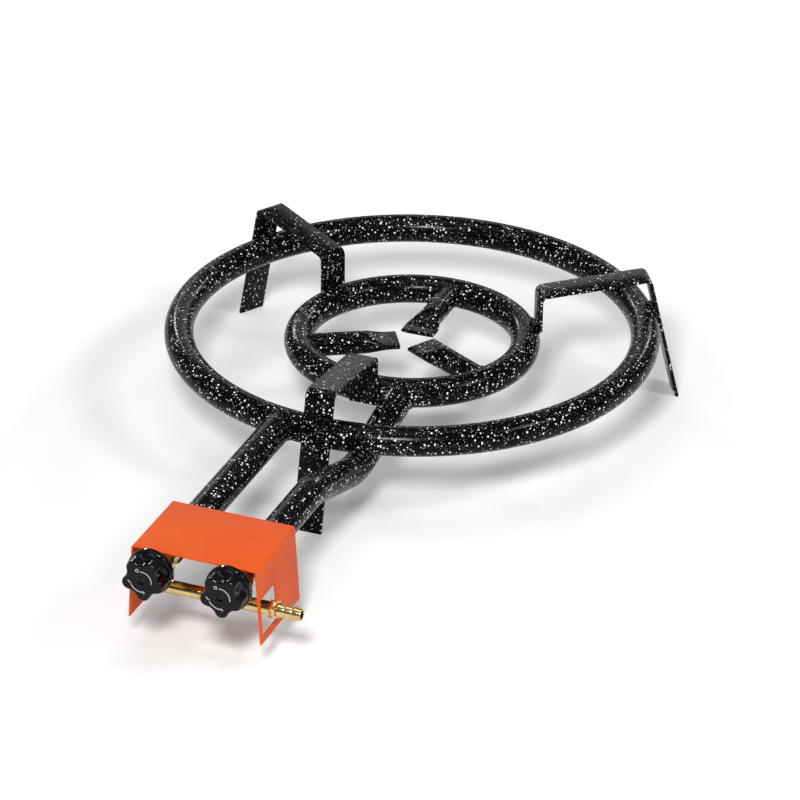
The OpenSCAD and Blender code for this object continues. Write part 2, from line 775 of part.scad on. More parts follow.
// Points of one ring of the spring's wire, at turn t
function spring_ring(t, y0, length) =
    let (wind = 360 * t, lift = y0 + length * t / spring_turns)
    [for (k = [0:spring_sides - 1])
        let (a = 360 * k / spring_sides, r = spring_d / 2 + spring_wire / 2 * cos(a))
        [r * cos(wind), lift + spring_wire / 2 * sin(a), r * sin(wind)]];

// Coil spring between the plug and the spindle's collar
module return_spring(x) {
    sides = spring_sides;
    rings = spring_turns * spring_steps;
    y0 = collar_back_y + plug_gap + spring_wire / 2;
    length = plug_front_y - plug_gap - spring_wire / 2 - y0;
    points = [for (i = [0:rings]) each spring_ring(i / spring_steps, y0, length)];
    sides_faces = [for (i = [0:rings - 1], k = [0:sides - 1])
        let (a = i * sides + k, b = i * sides + (k + 1) % sides)
        each [[a, b, b + sides], [a, b + sides, a + sides]]];
    first = [for (k = [1:sides - 2]) [0, k + 1, k]];
    end = rings * sides;
    last = [for (k = [1:sides - 2]) [end, end + k, end + k + 1]];
    color(steel) translate([x, 0, axis_z]) polyhedron(points, concat(sides_faces, first, last));
}

module left_return_spring() { return_spring(left_x); }
module right_return_spring() { return_spring(right_x); }

// Flat on the spindle's upper side and in the knob's bore
module spindle_flat(x, grow) {
    translate([x - spindle_d, knob_face_y - past, axis_z + spindle_d / 2 - flat_depth + grow])
        cube([2 * spindle_d, bonnet_front_y - push_travel - knob_face_y, spindle_d]);
}

module spindle(x) {
    color(steel) difference() {
        union() {
            rod_y(x, axis_z, spindle_end_y, collar_front_y + eps, spindle_d);
            rod_y(x, axis_z, collar_front_y, collar_back_y, collar_d);
            translate([x - tongue_t / 2, collar_back_y - eps, axis_z - tongue_w / 2])
                cube([tongue_t, tongue_end_y - collar_back_y + eps, tongue_w]);
        }
        spindle_flat(x, 0);
        rod_y(x, axis_z, spindle_end_y - past, spindle_end_y + knob_screw_l, knob_screw_d + 2 * thread_fit);
    }
}

module left_spindle() { spindle(left_x); }
module right_spindle() { spindle(right_x); }

// Outline of the lobed grip: lobe circles joined by hollows that run smoothly into them
module lobe_outline() {
    lobe_at = knob_d / 2 - lobe_r;
    waist_r = knob_waist_d / 2;
    c = cos(180 / lobes);
    hollow_r = (pow(lobe_at, 2) + pow(waist_r, 2) - 2 * lobe_at * waist_r * c - pow(lobe_r, 2))
        / (2 * (lobe_r + lobe_at * c - waist_r));
    hollow_at = waist_r + hollow_r;
    difference() {
        polygon([for (i = [0:lobes - 1], k = [0, 1])
            let (a = (i + k / 2) * 360 / lobes, r = k == 0 ? lobe_at : hollow_at)
            r * [cos(a), sin(a)]]);
        for (i = [0:lobes - 1]) rotate((i + 0.5) * 360 / lobes) translate([hollow_at, 0]) circle(hollow_r);
    }
    for (i = [0:lobes - 1]) rotate(i * 360 / lobes) translate([lobe_at, 0]) circle(lobe_r);
}

module knob(x) {
    hollow_d = skirt_d - 2 * skirt_wall;
    color(bakelite) difference() {
        union() {
            translate([x, skirt_front_y + eps, axis_z]) rotate([90, 0, 0]) rotate(first_lobe_angle)
                linear_extrude(skirt_front_y + eps - knob_face_y) lobe_outline();
            rod_y(x, axis_z, skirt_front_y, knob_back_y, skirt_d);
        }
        difference() {
            rod_y(x, axis_z, knob_back_y - skirt_l + skirt_wall, knob_back_y + past, hollow_d);
            rod_y(x, axis_z, skirt_front_y, knob_back_y, hub_d);
        }
        difference() {
            rod_y(x, axis_z, spindle_end_y, knob_back_y + past, spindle_d + 2 * thread_fit);
            spindle_flat(x, thread_fit);
        }
        rod_y(x, axis_z, knob_face_y - past, spindle_end_y + past, knob_screw_d + 2 * thread_fit);
        rod_y(x, axis_z, knob_face_y - past, knob_face_y + knob_recess, knob_recess_d);
    }
}

module left_knob() { knob(left_x); }
module right_knob() { knob(right_x); }

module knob_screw(x) {
    head_y = knob_face_y + knob_recess;
    head_h = knob_screw_d * head_h_ratio;
    head_d = knob_screw_d * head_d_ratio;
    slot = [head_d + past, head_h, knob_screw_d * slot_ratio];
    color(black_steel) difference() {
        union() {
            rod_y(x, axis_z, head_y - head_h, head_y, head_d);
            rod_y(x, axis_z, head_y, spindle_end_y + knob_screw_l - plug_gap, knob_screw_d);
        }
        translate([x, head_y - head_h, axis_z]) rotate([0, first_lobe_angle, 0]) cube(slot, center = true);
    }
}

module left_knob_screw() { knob_screw(left_x); }
module right_knob_screw() { knob_screw(right_x); }

module manifold_pipe() {
    color(brass) difference() {
        rod_x(port_y, pipe_z, pipe_left_x, collar_x, pipe_d);
        rod_x(port_y, pipe_z, pipe_left_x - past, collar_x + past, 2 * pipe_bore_r);
        for (x = [left_x, right_x]) translate([x, port_y, pipe_z])
            cylinder(h = pipe_d, d = spigot_d + 2 * thread_fit);
    }
}

module manifold_end_cap() {
    color(brass) {
        rod_x(port_y, pipe_z, pipe_left_x - eps, pipe_left_x + thread_l - past,
            2 * (pipe_bore_r - thread_fit));
        translate([pipe_left_x - cap_t, port_y, pipe_z]) along_x() hex_bar(hex_af, cap_t);
    }
}

// Barbed end for the gas hose, screwed into the pipe
module hose_nozzle() {
    pitch = barb_l / barbs;
    color(brass) difference() {
        union() {
            rod_x(port_y, pipe_z, collar_x - thread_l, collar_x + eps, 2 * (pipe_bore_r - thread_fit));
            translate([collar_x, port_y, pipe_z]) along_x() hex_bar(hex_af, nozzle_collar_l);
            rod_x(port_y, pipe_z, collar_x + past, barb_x + barb_l - past, barb_root_d - past);
            for (i = [0:barbs - 1]) translate([barb_x + i * pitch, port_y, pipe_z]) along_x() {
                translate([0, 0, -eps]) cylinder(h = barb_land + eps, d = barb_d);
                translate([0, 0, barb_land]) cylinder(h = pitch - barb_land, d1 = barb_d, d2 = barb_root_d);
            }
        }
        rod_x(port_y, pipe_z, collar_x - thread_l - past, barb_x + barb_l + past, nozzle_bore_d);
    }
}

outer_ring();
inner_ring();
back_jet();
left_jet();
right_jet();
right_pan_support();
left_pan_support();
front_pan_support();
outer_feed_tube();
inner_feed_tube();
control_cover();
cover_clamp_bar();
cover_clamp_screws();
cover_weld_nuts();
left_injector_cup();
right_injector_cup();
injector_cup_screws();
left_injector();
right_injector();
left_tap_body();
right_tap_body();
left_tap_plug();
right_tap_plug();
left_tap_bonnet();
right_tap_bonnet();
left_bonnet_screws();
right_bonnet_screws();
left_return_spring();
right_return_spring();
left_spindle();
right_spindle();
left_knob();
right_knob();
left_knob_screw();
right_knob_screw();
manifold_pipe();
manifold_end_cap();
hose_nozzle();
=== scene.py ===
"""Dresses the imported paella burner: enamel, paint, brass and bakelite round the fixed frame."""

import json
import math
import random

import bmesh
import bpy
from mathutils import Matrix, Vector


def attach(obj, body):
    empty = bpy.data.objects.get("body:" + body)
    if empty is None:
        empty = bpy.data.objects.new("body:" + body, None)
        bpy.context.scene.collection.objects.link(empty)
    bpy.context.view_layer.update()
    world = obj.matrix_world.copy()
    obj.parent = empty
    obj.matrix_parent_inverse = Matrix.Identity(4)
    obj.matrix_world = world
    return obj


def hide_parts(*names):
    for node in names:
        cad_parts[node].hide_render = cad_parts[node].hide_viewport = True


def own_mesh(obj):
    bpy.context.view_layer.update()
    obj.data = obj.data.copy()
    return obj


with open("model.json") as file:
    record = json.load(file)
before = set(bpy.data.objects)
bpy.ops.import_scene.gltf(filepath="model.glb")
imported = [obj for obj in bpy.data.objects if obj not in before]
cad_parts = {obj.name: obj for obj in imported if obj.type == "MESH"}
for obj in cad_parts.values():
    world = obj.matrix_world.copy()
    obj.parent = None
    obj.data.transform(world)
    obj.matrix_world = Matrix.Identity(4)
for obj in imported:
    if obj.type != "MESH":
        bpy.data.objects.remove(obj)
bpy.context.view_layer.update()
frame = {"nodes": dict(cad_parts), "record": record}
scene = bpy.context.scene
FRAME_BODY = "burner_frame"

# Sizes in metres, as in the construction
OUTER_R = 0.200
INNER_R = 0.0975
RING_Z = 0.075
INNER_Z = 0.065
TUBE_R = 0.0125
TUBE_WALL = 0.0015
PORT_R = 0.001
CROWN_OFFSET = 0.0013
SIDE_ROW_LEAN = math.radians(48)
WELD_GAP = 0.0001
SUPPORT_ANGLES = {"right": 30, "left": 150, "front": 270}
JET_ANGLES = {"back": 90, "left": 210, "right": 330}
BAR_W = 0.025
BAR_T = 0.003
BAR_BEND_R = 0.007
LEG_LEAN = math.radians(14)
SUPPORT_H = 0.1155
SUPPORT_FALL = 0.011
INNER_LEG_END = {"right": 0.071, "left": 0.059, "front": 0.059}
JET_R = 0.010
JET_TIP = 0.012
JET_TIP_W = 0.030
JET_TIP_T = 0.0036
JET_FLAT_END = 0.021
JET_ROUND = 0.045
JET_END = 0.095
JET_LAST_PORT = 0.0805
JET_PORT_PITCH = 0.009
LEFT_X = -0.037
RIGHT_X = 0.028
OUTER_JOINT_Y = -math.sqrt(OUTER_R ** 2 - LEFT_X ** 2)
INNER_JOINT_Y = -math.sqrt(INNER_R ** 2 - RIGHT_X ** 2)
FEED_SHIFT = -0.0045
MOUTH_Y = -0.420
DIP_Y = -0.292
DIP_LOW_Z = 0.0459
DIP_BEND_R = 0.070
COVER_W = 0.104
COVER_SPLAY = 0.004
COVER_T = 0.0015
COVER_FOLD_R = 0.002
COVER_LOW_Z = 0.0251
COVER_TOP_Z = 0.0891
COVER_FRONT_Y = -0.446
COVER_BACK_Y = -0.371
WINDOW_Y = (-0.442, -0.414)
WINDOW_Z = (0.0311, 0.0621)
AXIS_Z = 0.075
KNOB_FACE_Y = -0.470
SKIRT_FRONT_Y = -0.457
KNOB_BACK_Y = -0.451
SKIRT_FLOOR_Y = -0.4545
KNOB_BORE_Y = -0.465
KNOB_D = 0.0355
KNOB_WAIST_D = 0.027
LOBE_R = 0.0055
LOBES = 5
FIRST_LOBE = math.radians(56)
SKIRT_R = 0.01875
SKIRT_WALL = 0.0025
HUB_R = 0.007
SPINDLE_R = 0.004
SPRING_R = 0.0047
SPRING_FRONT_Y = -0.4413
SPRING_BACK_Y = -0.4384
RECESS_R = 0.003
RECESS_DEPTH = 0.003
PIPE_Y = -0.4286
PIPE_Z = 0.0485
HEX_AF = 0.014
COLLAR_X = 0.05154
BARB_X = 0.05754
BARB_PITCH = 0.020 / 3
BARBS = 3
BARB_R = 0.00575
BARB_ROOT_R = 0.00475
NOZZLE_BORE_R = 0.0025

# Flame ports of the finish: three times as many on the rings as in the construction
OUTER_PORTS = 156
INNER_PORTS = 78
JET_PORTS = 6
PORT_DEPTH = 0.002
PORT_SHIFT = 0.75

# Sizes of the finish on bar, sheet and tubes
EDGE_R = 0.0005
COVER_EDGE = 0.0003
COVER_EDGE_ANGLE = math.radians(50)
WRINKLE = 0.0003
WRINKLE_PITCH = 0.0085
WRINKLE_GAIN = 25
SEAM_DEPTH = 0.0015
SEAM_MOUTH = 0.0003
SEAM_H = 0.0002
SEAM_MARGIN = 0.003
TIP_EDGE_DEPTH = 0.0006
TIP_EDGE_W = 0.001
TIP_EDGE_T = 0.0008
TIP_LEAD = 0.004
TIP_SQUARENESS = 5
ROUND_SQUARENESS = 2

# Sizes of the finish on the taps
FACE_EDGE = 0.0014
FACE_SHARES = (0.35, 0.7)
FACE_TOLERANCE = 1e-5
RECESS_EDGE_W = 0.0005
RECESS_EDGE_DEPTH = 0.0004
SCREW_HOLE_R = 0.0016
FLARE_START = 0.55
FLARE_SHARE = 0.9
SKIRT_EDGE = 0.0010
SKIRT_STEP = 0.0008
BACK_EDGE = 0.0006
SPINDLE_FIT = 0.0001
SPRING_WIRE_R = 0.0003
SPRING_TURNS = 3
HEX_CHAMFER = 0.0006
HEX_FACE_INSET = 0.0002
HEX_CORNER_INSET = 0.0001
COLLAR_FACE_R = 0.0045
BARB_NICK = 0.0001
BARB_RISE = 0.0003
BARB_RISE_INSET = 0.00015
BARB_ROUND = 0.0006
BARB_LAND = 0.0015
NOZZLE_END_INSET = 0.0003
MOUTH_R = 0.0034
MOUTH_EDGE = 0.0002
MOUTH_DEPTH = 0.012
MOUTH_TAPER_DEPTH = 0.014

# Printed marks on the knobs: radii and widths in metres, angles in degrees
MARK_W = 0.0006
THIN_MARK_W = 0.0005
MARK_LIFT = 0.00004
SHUT_ARC = (0.0081, 97, -8)
SHUT_RING = (0.0092, 113)
SHUT_RING_R = 0.0012
FLAME_ARC = (0.0099, 206, 276)
LARGE_FLAME = ((0.0118, 186), (0.0106, 191), (0.0109, 195), (0.0094, 200))
SMALL_FLAME = ((0.0088, 273), (0.0104, 283), (0.0113, 277))

# Weld beads
FEED_BEAD_R = 0.0014
JET_BEAD_R = 0.0012
LEG_BEAD_R = 0.0017
LEG_BEAD_W = 0.022
LEG_BEAD_LIFT = 0.0004
OUTER_LEG_SPREAD = math.radians(24)
INNER_LEG_SPREAD = math.radians(22)
HIGH_LEG_SPREAD = math.radians(10)
OUTER_FEED_START = 0.030
INNER_FEED_START = 0.034
INNER_FEED_REACH = 0.036
JET_START = 0.025
JET_REACH = 0.028
SADDLE_TOUCH = 0.0002
BEAD_END_SHARE = 0.25
RIPPLE = 0.14
RIPPLE_STEP = 1.9
LUMP = 0.12

# Fineness of the meshes
MERGE_DISTANCE = 1e-6
SHARP_ANGLE = 35
COVER_SHARP_ANGLE = 30
BEAD_SHARP_ANGLE = 80
BAR_STEP = 0.006
FEED_STEP = 0.003
FEED_BEND_STEPS = 24
FEED_SIDES = 72
COVER_FOLD_STEPS = 6
COVER_EDGE_STEPS = 2
RING_SIDES = 64
PORT_SIDES = 20
JET_SIDES = 64
JET_PHASE = 0.001
JET_TIP_STEPS = 40
JET_TUBE_STEPS = 8
KNOB_SIDES = 240
FACE_EDGE_STEPS = 6
GRIP_STEPS = 18
SKIRT_EDGE_STEPS = 4
MARK_STEPS = 24
MARK_RING_SIDES = 20
SPRING_STEPS = 24
SPRING_SIDES = 10
NOZZLE_SIDES = 96
BEAD_SIDES = 14
SADDLE_SIDES = 64
SADDLE_STEPS = 200
LEG_BEAD_STEPS = 14

# Relief of the materials in metres
PEEL_H = 0.00012
BRUSH_H = 0.00004
MOULD_H = 0.00003
METAL_H = 0.00002

# Stage: the floor's glow for the camera grows with the distance from the part
FLOOR_SIZE = 12
FLOOR_DROP = 0.0002
FLOOR_COLOUR = (0.9, 0.9, 0.9, 1)
GLOW_SCALE = (1, 0.75, 1)
GLOW_SHIFT = (0, 0.075, 0)
GLOW_REACH = (0.30, 0.62)
GLOW_STRENGTH = (0.16, 1.0)
WORLD_STRENGTH = (0.15, 1.0)

# Lamps: name, place, width and height, power in watts
LAMPS = (("front", (0.47, -1.98, 1.79), (0.45, 0.45), 47),
         ("right", (1.42, -0.17, 1.46), (0.4, 0.3), 8),
         ("back", (-0.70, 2.00, 0.90), (2.0, 0.8), 6),
         ("back_left", (-1.43, 1.39, 0.93), (0.14, 0.14), 3),
         ("back_right", (0.34, 1.91, 1.03), (0.14, 0.14), 3),
         ("top", (-0.30, -0.10, 2.40), (1.4, 1.4), 8))
LAMP_TARGET = Vector((0, -0.1, 0.05))

# Camera, fitted to the photograph
AZIMUTH = math.radians(21.12)
ELEVATION = math.radians(28.26)
ROLL = math.radians(0.76)
DISTANCE = 3.15766
TARGET = Vector((0.01815, -0.07375, 0.04602))
SENSOR = 36
LENS = 168.26


# Shapes

def rounded_path(points, radius, steps=10):
    """Plane polyline with its inner corners turned into arcs: a list of (point, direction)."""
    pts = [Vector(p) for p in points]
    out = [(pts[0], (pts[1] - pts[0]).normalized())]
    for before, corner, after in zip(pts, pts[1:], pts[2:]):
        into, away = (corner - before).normalized(), (after - corner).normalized()
        turn = math.atan2(into.x * away.y - into.y * away.x, into.dot(away))
        side = Vector((-into.y, into.x)) * (1 if turn > 0 else -1)
        start = corner - into * radius * math.tan(abs(turn) / 2)
        centre = start + side * radius
        for i in range(steps + 1):
            spin = Matrix.Rotation(turn * i / steps, 2)
            out.append((centre + spin @ (start - centre), spin @ into))
    out.append((pts[-1], (pts[-1] - pts[-2]).normalized()))
    return out


def resample(path, step):
    """Adds points to a path's long straight stretches."""
    out = [path[0]]
    for (a, da), (b, db) in zip(path, path[1:]):
        count = max(1, round((b - a).length / step))
        for i in range(1, count + 1):
            t = i / count
            out.append((a.lerp(b, t), da.lerp(db, t).normalized()))
    return out


def add_piece(name, verts, faces, materials, body=FRAME_BODY, sharp=SHARP_ANGLE):
    """Makes a mesh piece that rides a body."""
    mesh = bpy.data.meshes.new(name)
    mesh.from_pydata([tuple(v) for v in verts], [], faces)
    bm = bmesh.new()
    bm.from_mesh(mesh)
    bmesh.ops.remove_doubles(bm, verts=bm.verts, dist=MERGE_DISTANCE)
    bmesh.ops.recalc_face_normals(bm, faces=bm.faces)
    bm.to_mesh(mesh)
    bm.free()
    for m in materials:
        mesh.materials.append(m)
    mesh.shade_smooth()
    mesh.set_sharp_from_angle(angle=math.radians(sharp))
    obj = bpy.data.objects.new(name, mesh)
    scene.collection.objects.link(obj)
    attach(obj, body)
    return obj


def loft(rings, caps=True, loop=False):
    """Vertices and faces of a skin through closed rings of equal count."""
    n = len(rings[0])
    verts = [p for ring in rings for p in ring]
    faces = []
    spans = len(rings) if loop else len(rings) - 1
    for i in range(spans):
        a, b = i * n, ((i + 1) % len(rings)) * n
        for k in range(n):
            k2 = (k + 1) % n
            faces.append((a + k, a + k2, b + k2, b + k))
    if caps and not loop:
        faces.append(tuple(range(n - 1, -1, -1)))
        faces.append(tuple((len(rings) - 1) * n + k for k in range(n)))
    return verts, faces


def circle(count, phase=0.0):
    """Unit circle as (cos, sin) pairs."""
    return [(math.cos(2 * math.pi * k / count + phase), math.sin(2 * math.pi * k / count + phase))
            for k in range(count)]


def quarter_round(steps):
    """Quarter of a unit circle that turns from a face to a side: pairs of depth and inset."""
    turns = [math.pi / 2 * i / steps for i in range(steps + 1)]
    return [(1 - math.cos(a), 1 - math.sin(a)) for a in turns]


def rounded_rectangle(w, h, r, steps=3):
    """Outline of a rectangle with rounded corners, centred on the origin."""
    out = []
    for cx, cy, a0 in ((w / 2 - r, h / 2 - r, 0), (r - w / 2, h / 2 - r, 90),
                       (r - w / 2, r - h / 2, 180), (w / 2 - r, r - h / 2, 270)):
        for i in range(steps + 1):
            a = math.radians(a0 + 90 * i / steps)
            out.append((cx + r * math.cos(a), cy + r * math.sin(a)))
    return out


def radial(angle):
    """Unit vectors outward and along a circle round the burner's axis, at an angle in degrees."""
    a = math.radians(angle)
    return Vector((math.cos(a), math.sin(a), 0)), Vector((-math.sin(a), math.cos(a), 0))


def raised(height):
    """Vector straight up."""
    return Vector((0, 0, height))


def smoothstep(t):
    """Smooth change from 0 to 1 as t goes from 0 to 1."""
    t = min(1.0, max(0.0, t))
    return t * t * (3 - 2 * t)


# Materials, with patterns in waves or cells per metre

class Shader:
    """A material's node tree with short calls for the nodes used here."""

    COLOUR_A, COLOUR_B, COLOUR_OUT = 6, 7, 2

    def __init__(self, name):
        self.material = bpy.data.materials.new(name)
        self.material.use_nodes = True
        self.tree = self.material.node_tree
        self.bsdf = self.tree.nodes["Principled BSDF"]
        self.coord = self.tree.nodes.new("ShaderNodeTexCoord").outputs["Object"]

    def put(self, socket, value):
        """Links or sets an input."""
        if isinstance(value, bpy.types.NodeSocket):
            self.tree.links.new(value, socket)
        else:
            socket.default_value = value

    def set(self, **values):
        """Links or sets inputs of the surface."""
        for key, value in values.items():
            self.put(self.bsdf.inputs[key.replace("_", " ")], value)

    def scaled(self, factors):
        """Object coordinates times factors."""
        node = self.tree.nodes.new("ShaderNodeMapping")
        node.inputs["Scale"].default_value = factors
        self.tree.links.new(self.coord, node.inputs["Vector"])
        return node.outputs["Vector"]

    def noise(self, scale, detail=3.0, rough=0.55, vector=None):
        node = self.tree.nodes.new("ShaderNodeTexNoise")
        node.inputs["Scale"].default_value = scale
        node.inputs["Detail"].default_value = detail
        node.inputs["Roughness"].default_value = rough
        self.tree.links.new(vector or self.coord, node.inputs["Vector"])
        return node.outputs["Fac"]

    def voronoi(self, scale, vector):
        node = self.tree.nodes.new("ShaderNodeTexVoronoi")
        node.inputs["Scale"].default_value = scale
        self.tree.links.new(vector, node.inputs["Vector"])
        return node.outputs["Distance"], node.outputs["Color"]

    def math(self, operation, a, b, clamp=False):
        node = self.tree.nodes.new("ShaderNodeMath")
        node.operation = operation
        node.use_clamp = clamp
        self.put(node.inputs[0], a)
        self.put(node.inputs[1], b)
        return node.outputs[0]

    def span(self, value, low, high, out_low=0.0, out_high=1.0):
        """Maps a range of values to another."""
        node = self.tree.nodes.new("ShaderNodeMapRange")
        for key, v in (("Value", value), ("From Min", low), ("From Max", high),
                       ("To Min", out_low), ("To Max", out_high)):
            self.put(node.inputs[key], v)
        return node.outputs["Result"]

    def mix(self, factor, a, b):
        """Mixes two colours."""
        node = self.tree.nodes.new("ShaderNodeMix")
        node.data_type = "RGBA"
        self.put(node.inputs["Factor"], factor)
        self.put(node.inputs[self.COLOUR_A], a)
        self.put(node.inputs[self.COLOUR_B], b)
        return node.outputs[self.COLOUR_OUT]

    def bump(self, height, distance, strength):
        node = self.tree.nodes.new("ShaderNodeBump")
        node.inputs["Strength"].default_value = strength
        node.inputs["Distance"].default_value = distance
        self.tree.links.new(height, node.inputs["Height"])
        return node.outputs["Normal"]


def rgb(r, g, b):
    """Linear colour with alpha from display values of 0 to 255."""
    def linear(v):
        v /= 255
        return v / 12.92 if v <= 0.04045 else ((v + 0.055) / 1.055) ** 2.4
    return (linear(r), linear(g), linear(b), 1.0)


def flecks(shader, scale, small, large, vector, shade_shrink):
    """Mask of round flecks of mixed size, given as shares of a cell and made smaller by a shrink that paints
    shade.
    """
    softness = 0.06
    distance, colour = shader.voronoi(scale, vector)
    split = shader.tree.nodes.new("ShaderNodeSeparateColor")
    shader.tree.links.new(colour, split.inputs["Color"])
    size = shader.span(split.outputs["Red"], 0.0, 1.0, small, large)
    edge = shader.math("SUBTRACT", size, shader.math("ADD", distance, shade_shrink))
    return shader.span(edge, 0.0, softness)


def wobbled(shader, scale, reach):
    """Object coordinates shifted a little by noise."""
    wobble = shader.tree.nodes.new("ShaderNodeTexNoise")
    wobble.inputs["Scale"].default_value = scale
    shader.tree.links.new(shader.coord, wobble.inputs["Vector"])
    shift = shader.tree.nodes.new("ShaderNodeVectorMath")
    shift.operation = "MULTIPLY_ADD"
    shader.tree.links.new(wobble.outputs["Color"], shift.inputs[0])
    shift.inputs[1].default_value = (reach, reach, reach)
    shader.tree.links.new(shader.coord, shift.inputs[2])
    return shift.outputs["Vector"]


def enamel_material():
    """Black glaze with large and fine white flecks, the large ones smaller on level faces, which paints
    shade on the tops.
    """
    s = Shader("black_enamel")
    vector = wobbled(s, 900, 0.0009)
    shape = s.tree.nodes.new("ShaderNodeNewGeometry")
    facing = s.tree.nodes.new("ShaderNodeSeparateXYZ")
    s.tree.links.new(shape.outputs["Normal"], facing.inputs["Vector"])
    # Painted shade: flecks shrink on faces that look straight up, so the tops read darker, and grow a little
    # on all other faces; the fine flecks shrink by a twentieth as much.
    level = s.span(facing.outputs["Z"], 0.975, 0.992, -0.02, 0.07)
    large = flecks(s, 390, -0.16, 0.39, vector, level)
    fine = flecks(s, 820, -0.06, 0.27, vector, s.math("MULTIPLY", level, 0.05))
    crowd = s.span(s.noise(45, detail=2), 0.35, 0.62, 0.45, 1.0)
    mask = s.math("MAXIMUM", large, s.math("MULTIPLY", fine, crowd), clamp=True)
    ground = s.mix(s.noise(60), rgb(4, 4, 5), rgb(11, 11, 13))
    s.set(Base_Color=s.mix(mask, ground, rgb(248, 249, 252)))
    peel = s.noise(420, detail=2)
    s.set(Roughness=s.span(s.math("ADD", peel, s.math("MULTIPLY", mask, 0.5)), 0.2, 1.2, 0.12, 0.36))
    s.set(Normal=s.bump(s.math("ADD", peel, s.math("MULTIPLY", mask, 0.6)), PEEL_H, 0.5))
    s.set(Specular_IOR_Level=0.10)
    return s.material


def paint_material():
    """Orange paint on brushed sheet."""
    s = Shader("orange_paint")
    streak = s.noise(1.0, detail=4, vector=s.scaled((14, 900, 900)))
    cloud = s.noise(35, detail=2)
    tone = s.math("ADD", s.math("MULTIPLY", streak, 0.7), s.math("MULTIPLY", cloud, 0.3))
    s.set(Base_Color=s.mix(s.span(tone, 0.3, 0.7), rgb(221, 76, 11), rgb(239, 98, 25)))
    s.set(Roughness=s.span(streak, 0.3, 0.7, 0.40, 0.56), Specular_IOR_Level=0.18)
    s.set(Normal=s.bump(s.math("ADD", streak, s.noise(1500, detail=1)), BRUSH_H, 0.5))
    return s.material


def brass_material():
    """Turned brass with faint stains."""
    s = Shader("brass")
    turned = s.noise(1.0, detail=3, vector=s.scaled((1800, 30, 30)))
    stain = s.noise(90, detail=4)
    s.set(Base_Color=s.mix(s.span(stain, 0.35, 0.75), (0.79, 0.62, 0.29, 1), (0.63, 0.44, 0.17, 1)))
    s.set(Metallic=1.0)
    s.set(Roughness=s.span(s.math("ADD", turned, stain), 0.7, 1.4, 0.10, 0.24))
    s.set(Normal=s.bump(turned, METAL_H, 0.4))
    return s.material


def zinc_yellow_material():
    """Yellow zinc plate with a greenish wash."""
    s = Shader("zinc_yellow")
    wash = s.noise(140, detail=4)
    tint = s.mix(s.span(wash, 0.35, 0.65), rgb(196, 178, 112), rgb(168, 132, 84))
    s.set(Base_Color=s.mix(s.span(s.noise(60), 0.45, 0.75), tint, rgb(150, 160, 110)))
    s.set(Metallic=0.85)
    s.set(Roughness=s.span(wash, 0.2, 0.8, 0.28, 0.46))
    s.set(Normal=s.bump(s.noise(1800, detail=2), METAL_H, 0.4))
    return s.material


def steel_material(name, dark, light, metallic, grain_scale, grain_detail, wear_scale):
    """Steel with a fine grain."""
    s = Shader(name)
    grain = s.noise(grain_scale, detail=grain_detail)
    s.set(Base_Color=s.mix(s.span(grain, 0.3, 0.7), dark, light))
    s.set(Metallic=metallic)
    s.set(Roughness=s.span(s.noise(wear_scale), 0.3, 0.7, 0.26, 0.44))
    s.set(Normal=s.bump(grain, METAL_H, 0.4))
    return s.material


def bakelite_material(name, low, high, gloss):
    """Black moulded plastic with a range of roughness."""
    s = Shader(name)
    flow = s.noise(120, detail=3)
    grain = s.noise(2600, detail=2)
    s.set(Base_Color=s.mix(s.span(flow, 0.3, 0.7), rgb(6, 6, 7), rgb(12, 12, 14)))
    s.set(Roughness=s.span(s.math("ADD", grain, flow), 0.6, 1.4, low, high))
    s.set(Normal=s.bump(s.math("ADD", grain, s.math("MULTIPLY", flow, 2.0)), MOULD_H, 0.35))
    s.set(Specular_IOR_Level=gloss)
    return s.material


def print_material():
    """White print, worn in places."""
    s = Shader("white_print")
    worn = s.noise(1500, detail=3)
    s.set(Base_Color=s.mix(s.span(worn, 0.5, 0.8), rgb(214, 216, 218), rgb(150, 152, 155)))
    s.set(Roughness=s.span(worn, 0.2, 0.8, 0.4, 0.6))
    return s.material


ENAMEL = enamel_material()
PAINT = paint_material()
BRASS = brass_material()
ZINC = zinc_yellow_material()
STEEL = steel_material("plated_steel", rgb(176, 178, 182), rgb(206, 208, 212), 1.0, 700, 4, 160)
BLACK_STEEL = steel_material("black_steel", rgb(30, 30, 32), rgb(58, 58, 60), 0.7, 900, 3, 300)
BAKELITE = bakelite_material("bakelite", 0.03, 0.10, 0.35)
BAKELITE_FACE = bakelite_material("bakelite_face", 0.26, 0.42, 0.2)
PRINT = print_material()
SLOT_MATERIAL = {"black_enamel": ENAMEL, "orange_paint": PAINT, "brass": BRASS, "zinc_yellow": ZINC,
                 "steel": STEEL, "black_steel": BLACK_STEEL, "bakelite": BAKELITE}

for part in frame["record"]["subparts"]:
    node_mesh = frame["nodes"][part["node"]].data
    node_mesh.materials.clear()
    node_mesh.materials.append(SLOT_MATERIAL[part["material_slot"]])


# Pieces that stand for construction nodes

def apply_modifiers(obj):
    """Turns an object's modifiers into its own mesh."""
    view = bpy.context.evaluated_depsgraph_get()
    mesh = bpy.data.meshes.new_from_object(obj.evaluated_get(view))
    old = obj.data
    obj.modifiers.clear()
    obj.data = mesh
    bpy.data.meshes.remove(old)


def drill(piece, lines, radius):
    """Cuts round blind holes along lines given by their end points."""
    bm = bmesh.new()
    for a, b in lines:
        d = b - a
        turn = d.to_track_quat("Z", "Y").to_matrix().to_4x4()
        bmesh.ops.create_cone(bm, cap_ends=True, segments=PORT_SIDES, radius1=radius, radius2=radius,
                              depth=d.length, matrix=Matrix.Translation((a + b) / 2) @ turn)
    mesh = bpy.data.meshes.new("drill")
    bm.to_mesh(mesh)
    bm.free()
    tool = bpy.data.objects.new("drill", mesh)
    scene.collection.objects.link(tool)
    cut = piece.modifiers.new("ports", "BOOLEAN")
    cut.object = tool
    cut.operation = "DIFFERENCE"
    cut.solver = "EXACT"
    apply_modifiers(piece)
    piece.data.set_sharp_from_angle(angle=math.radians(SHARP_ANGLE))
    bpy.data.objects.remove(tool)
    bpy.data.meshes.remove(mesh)


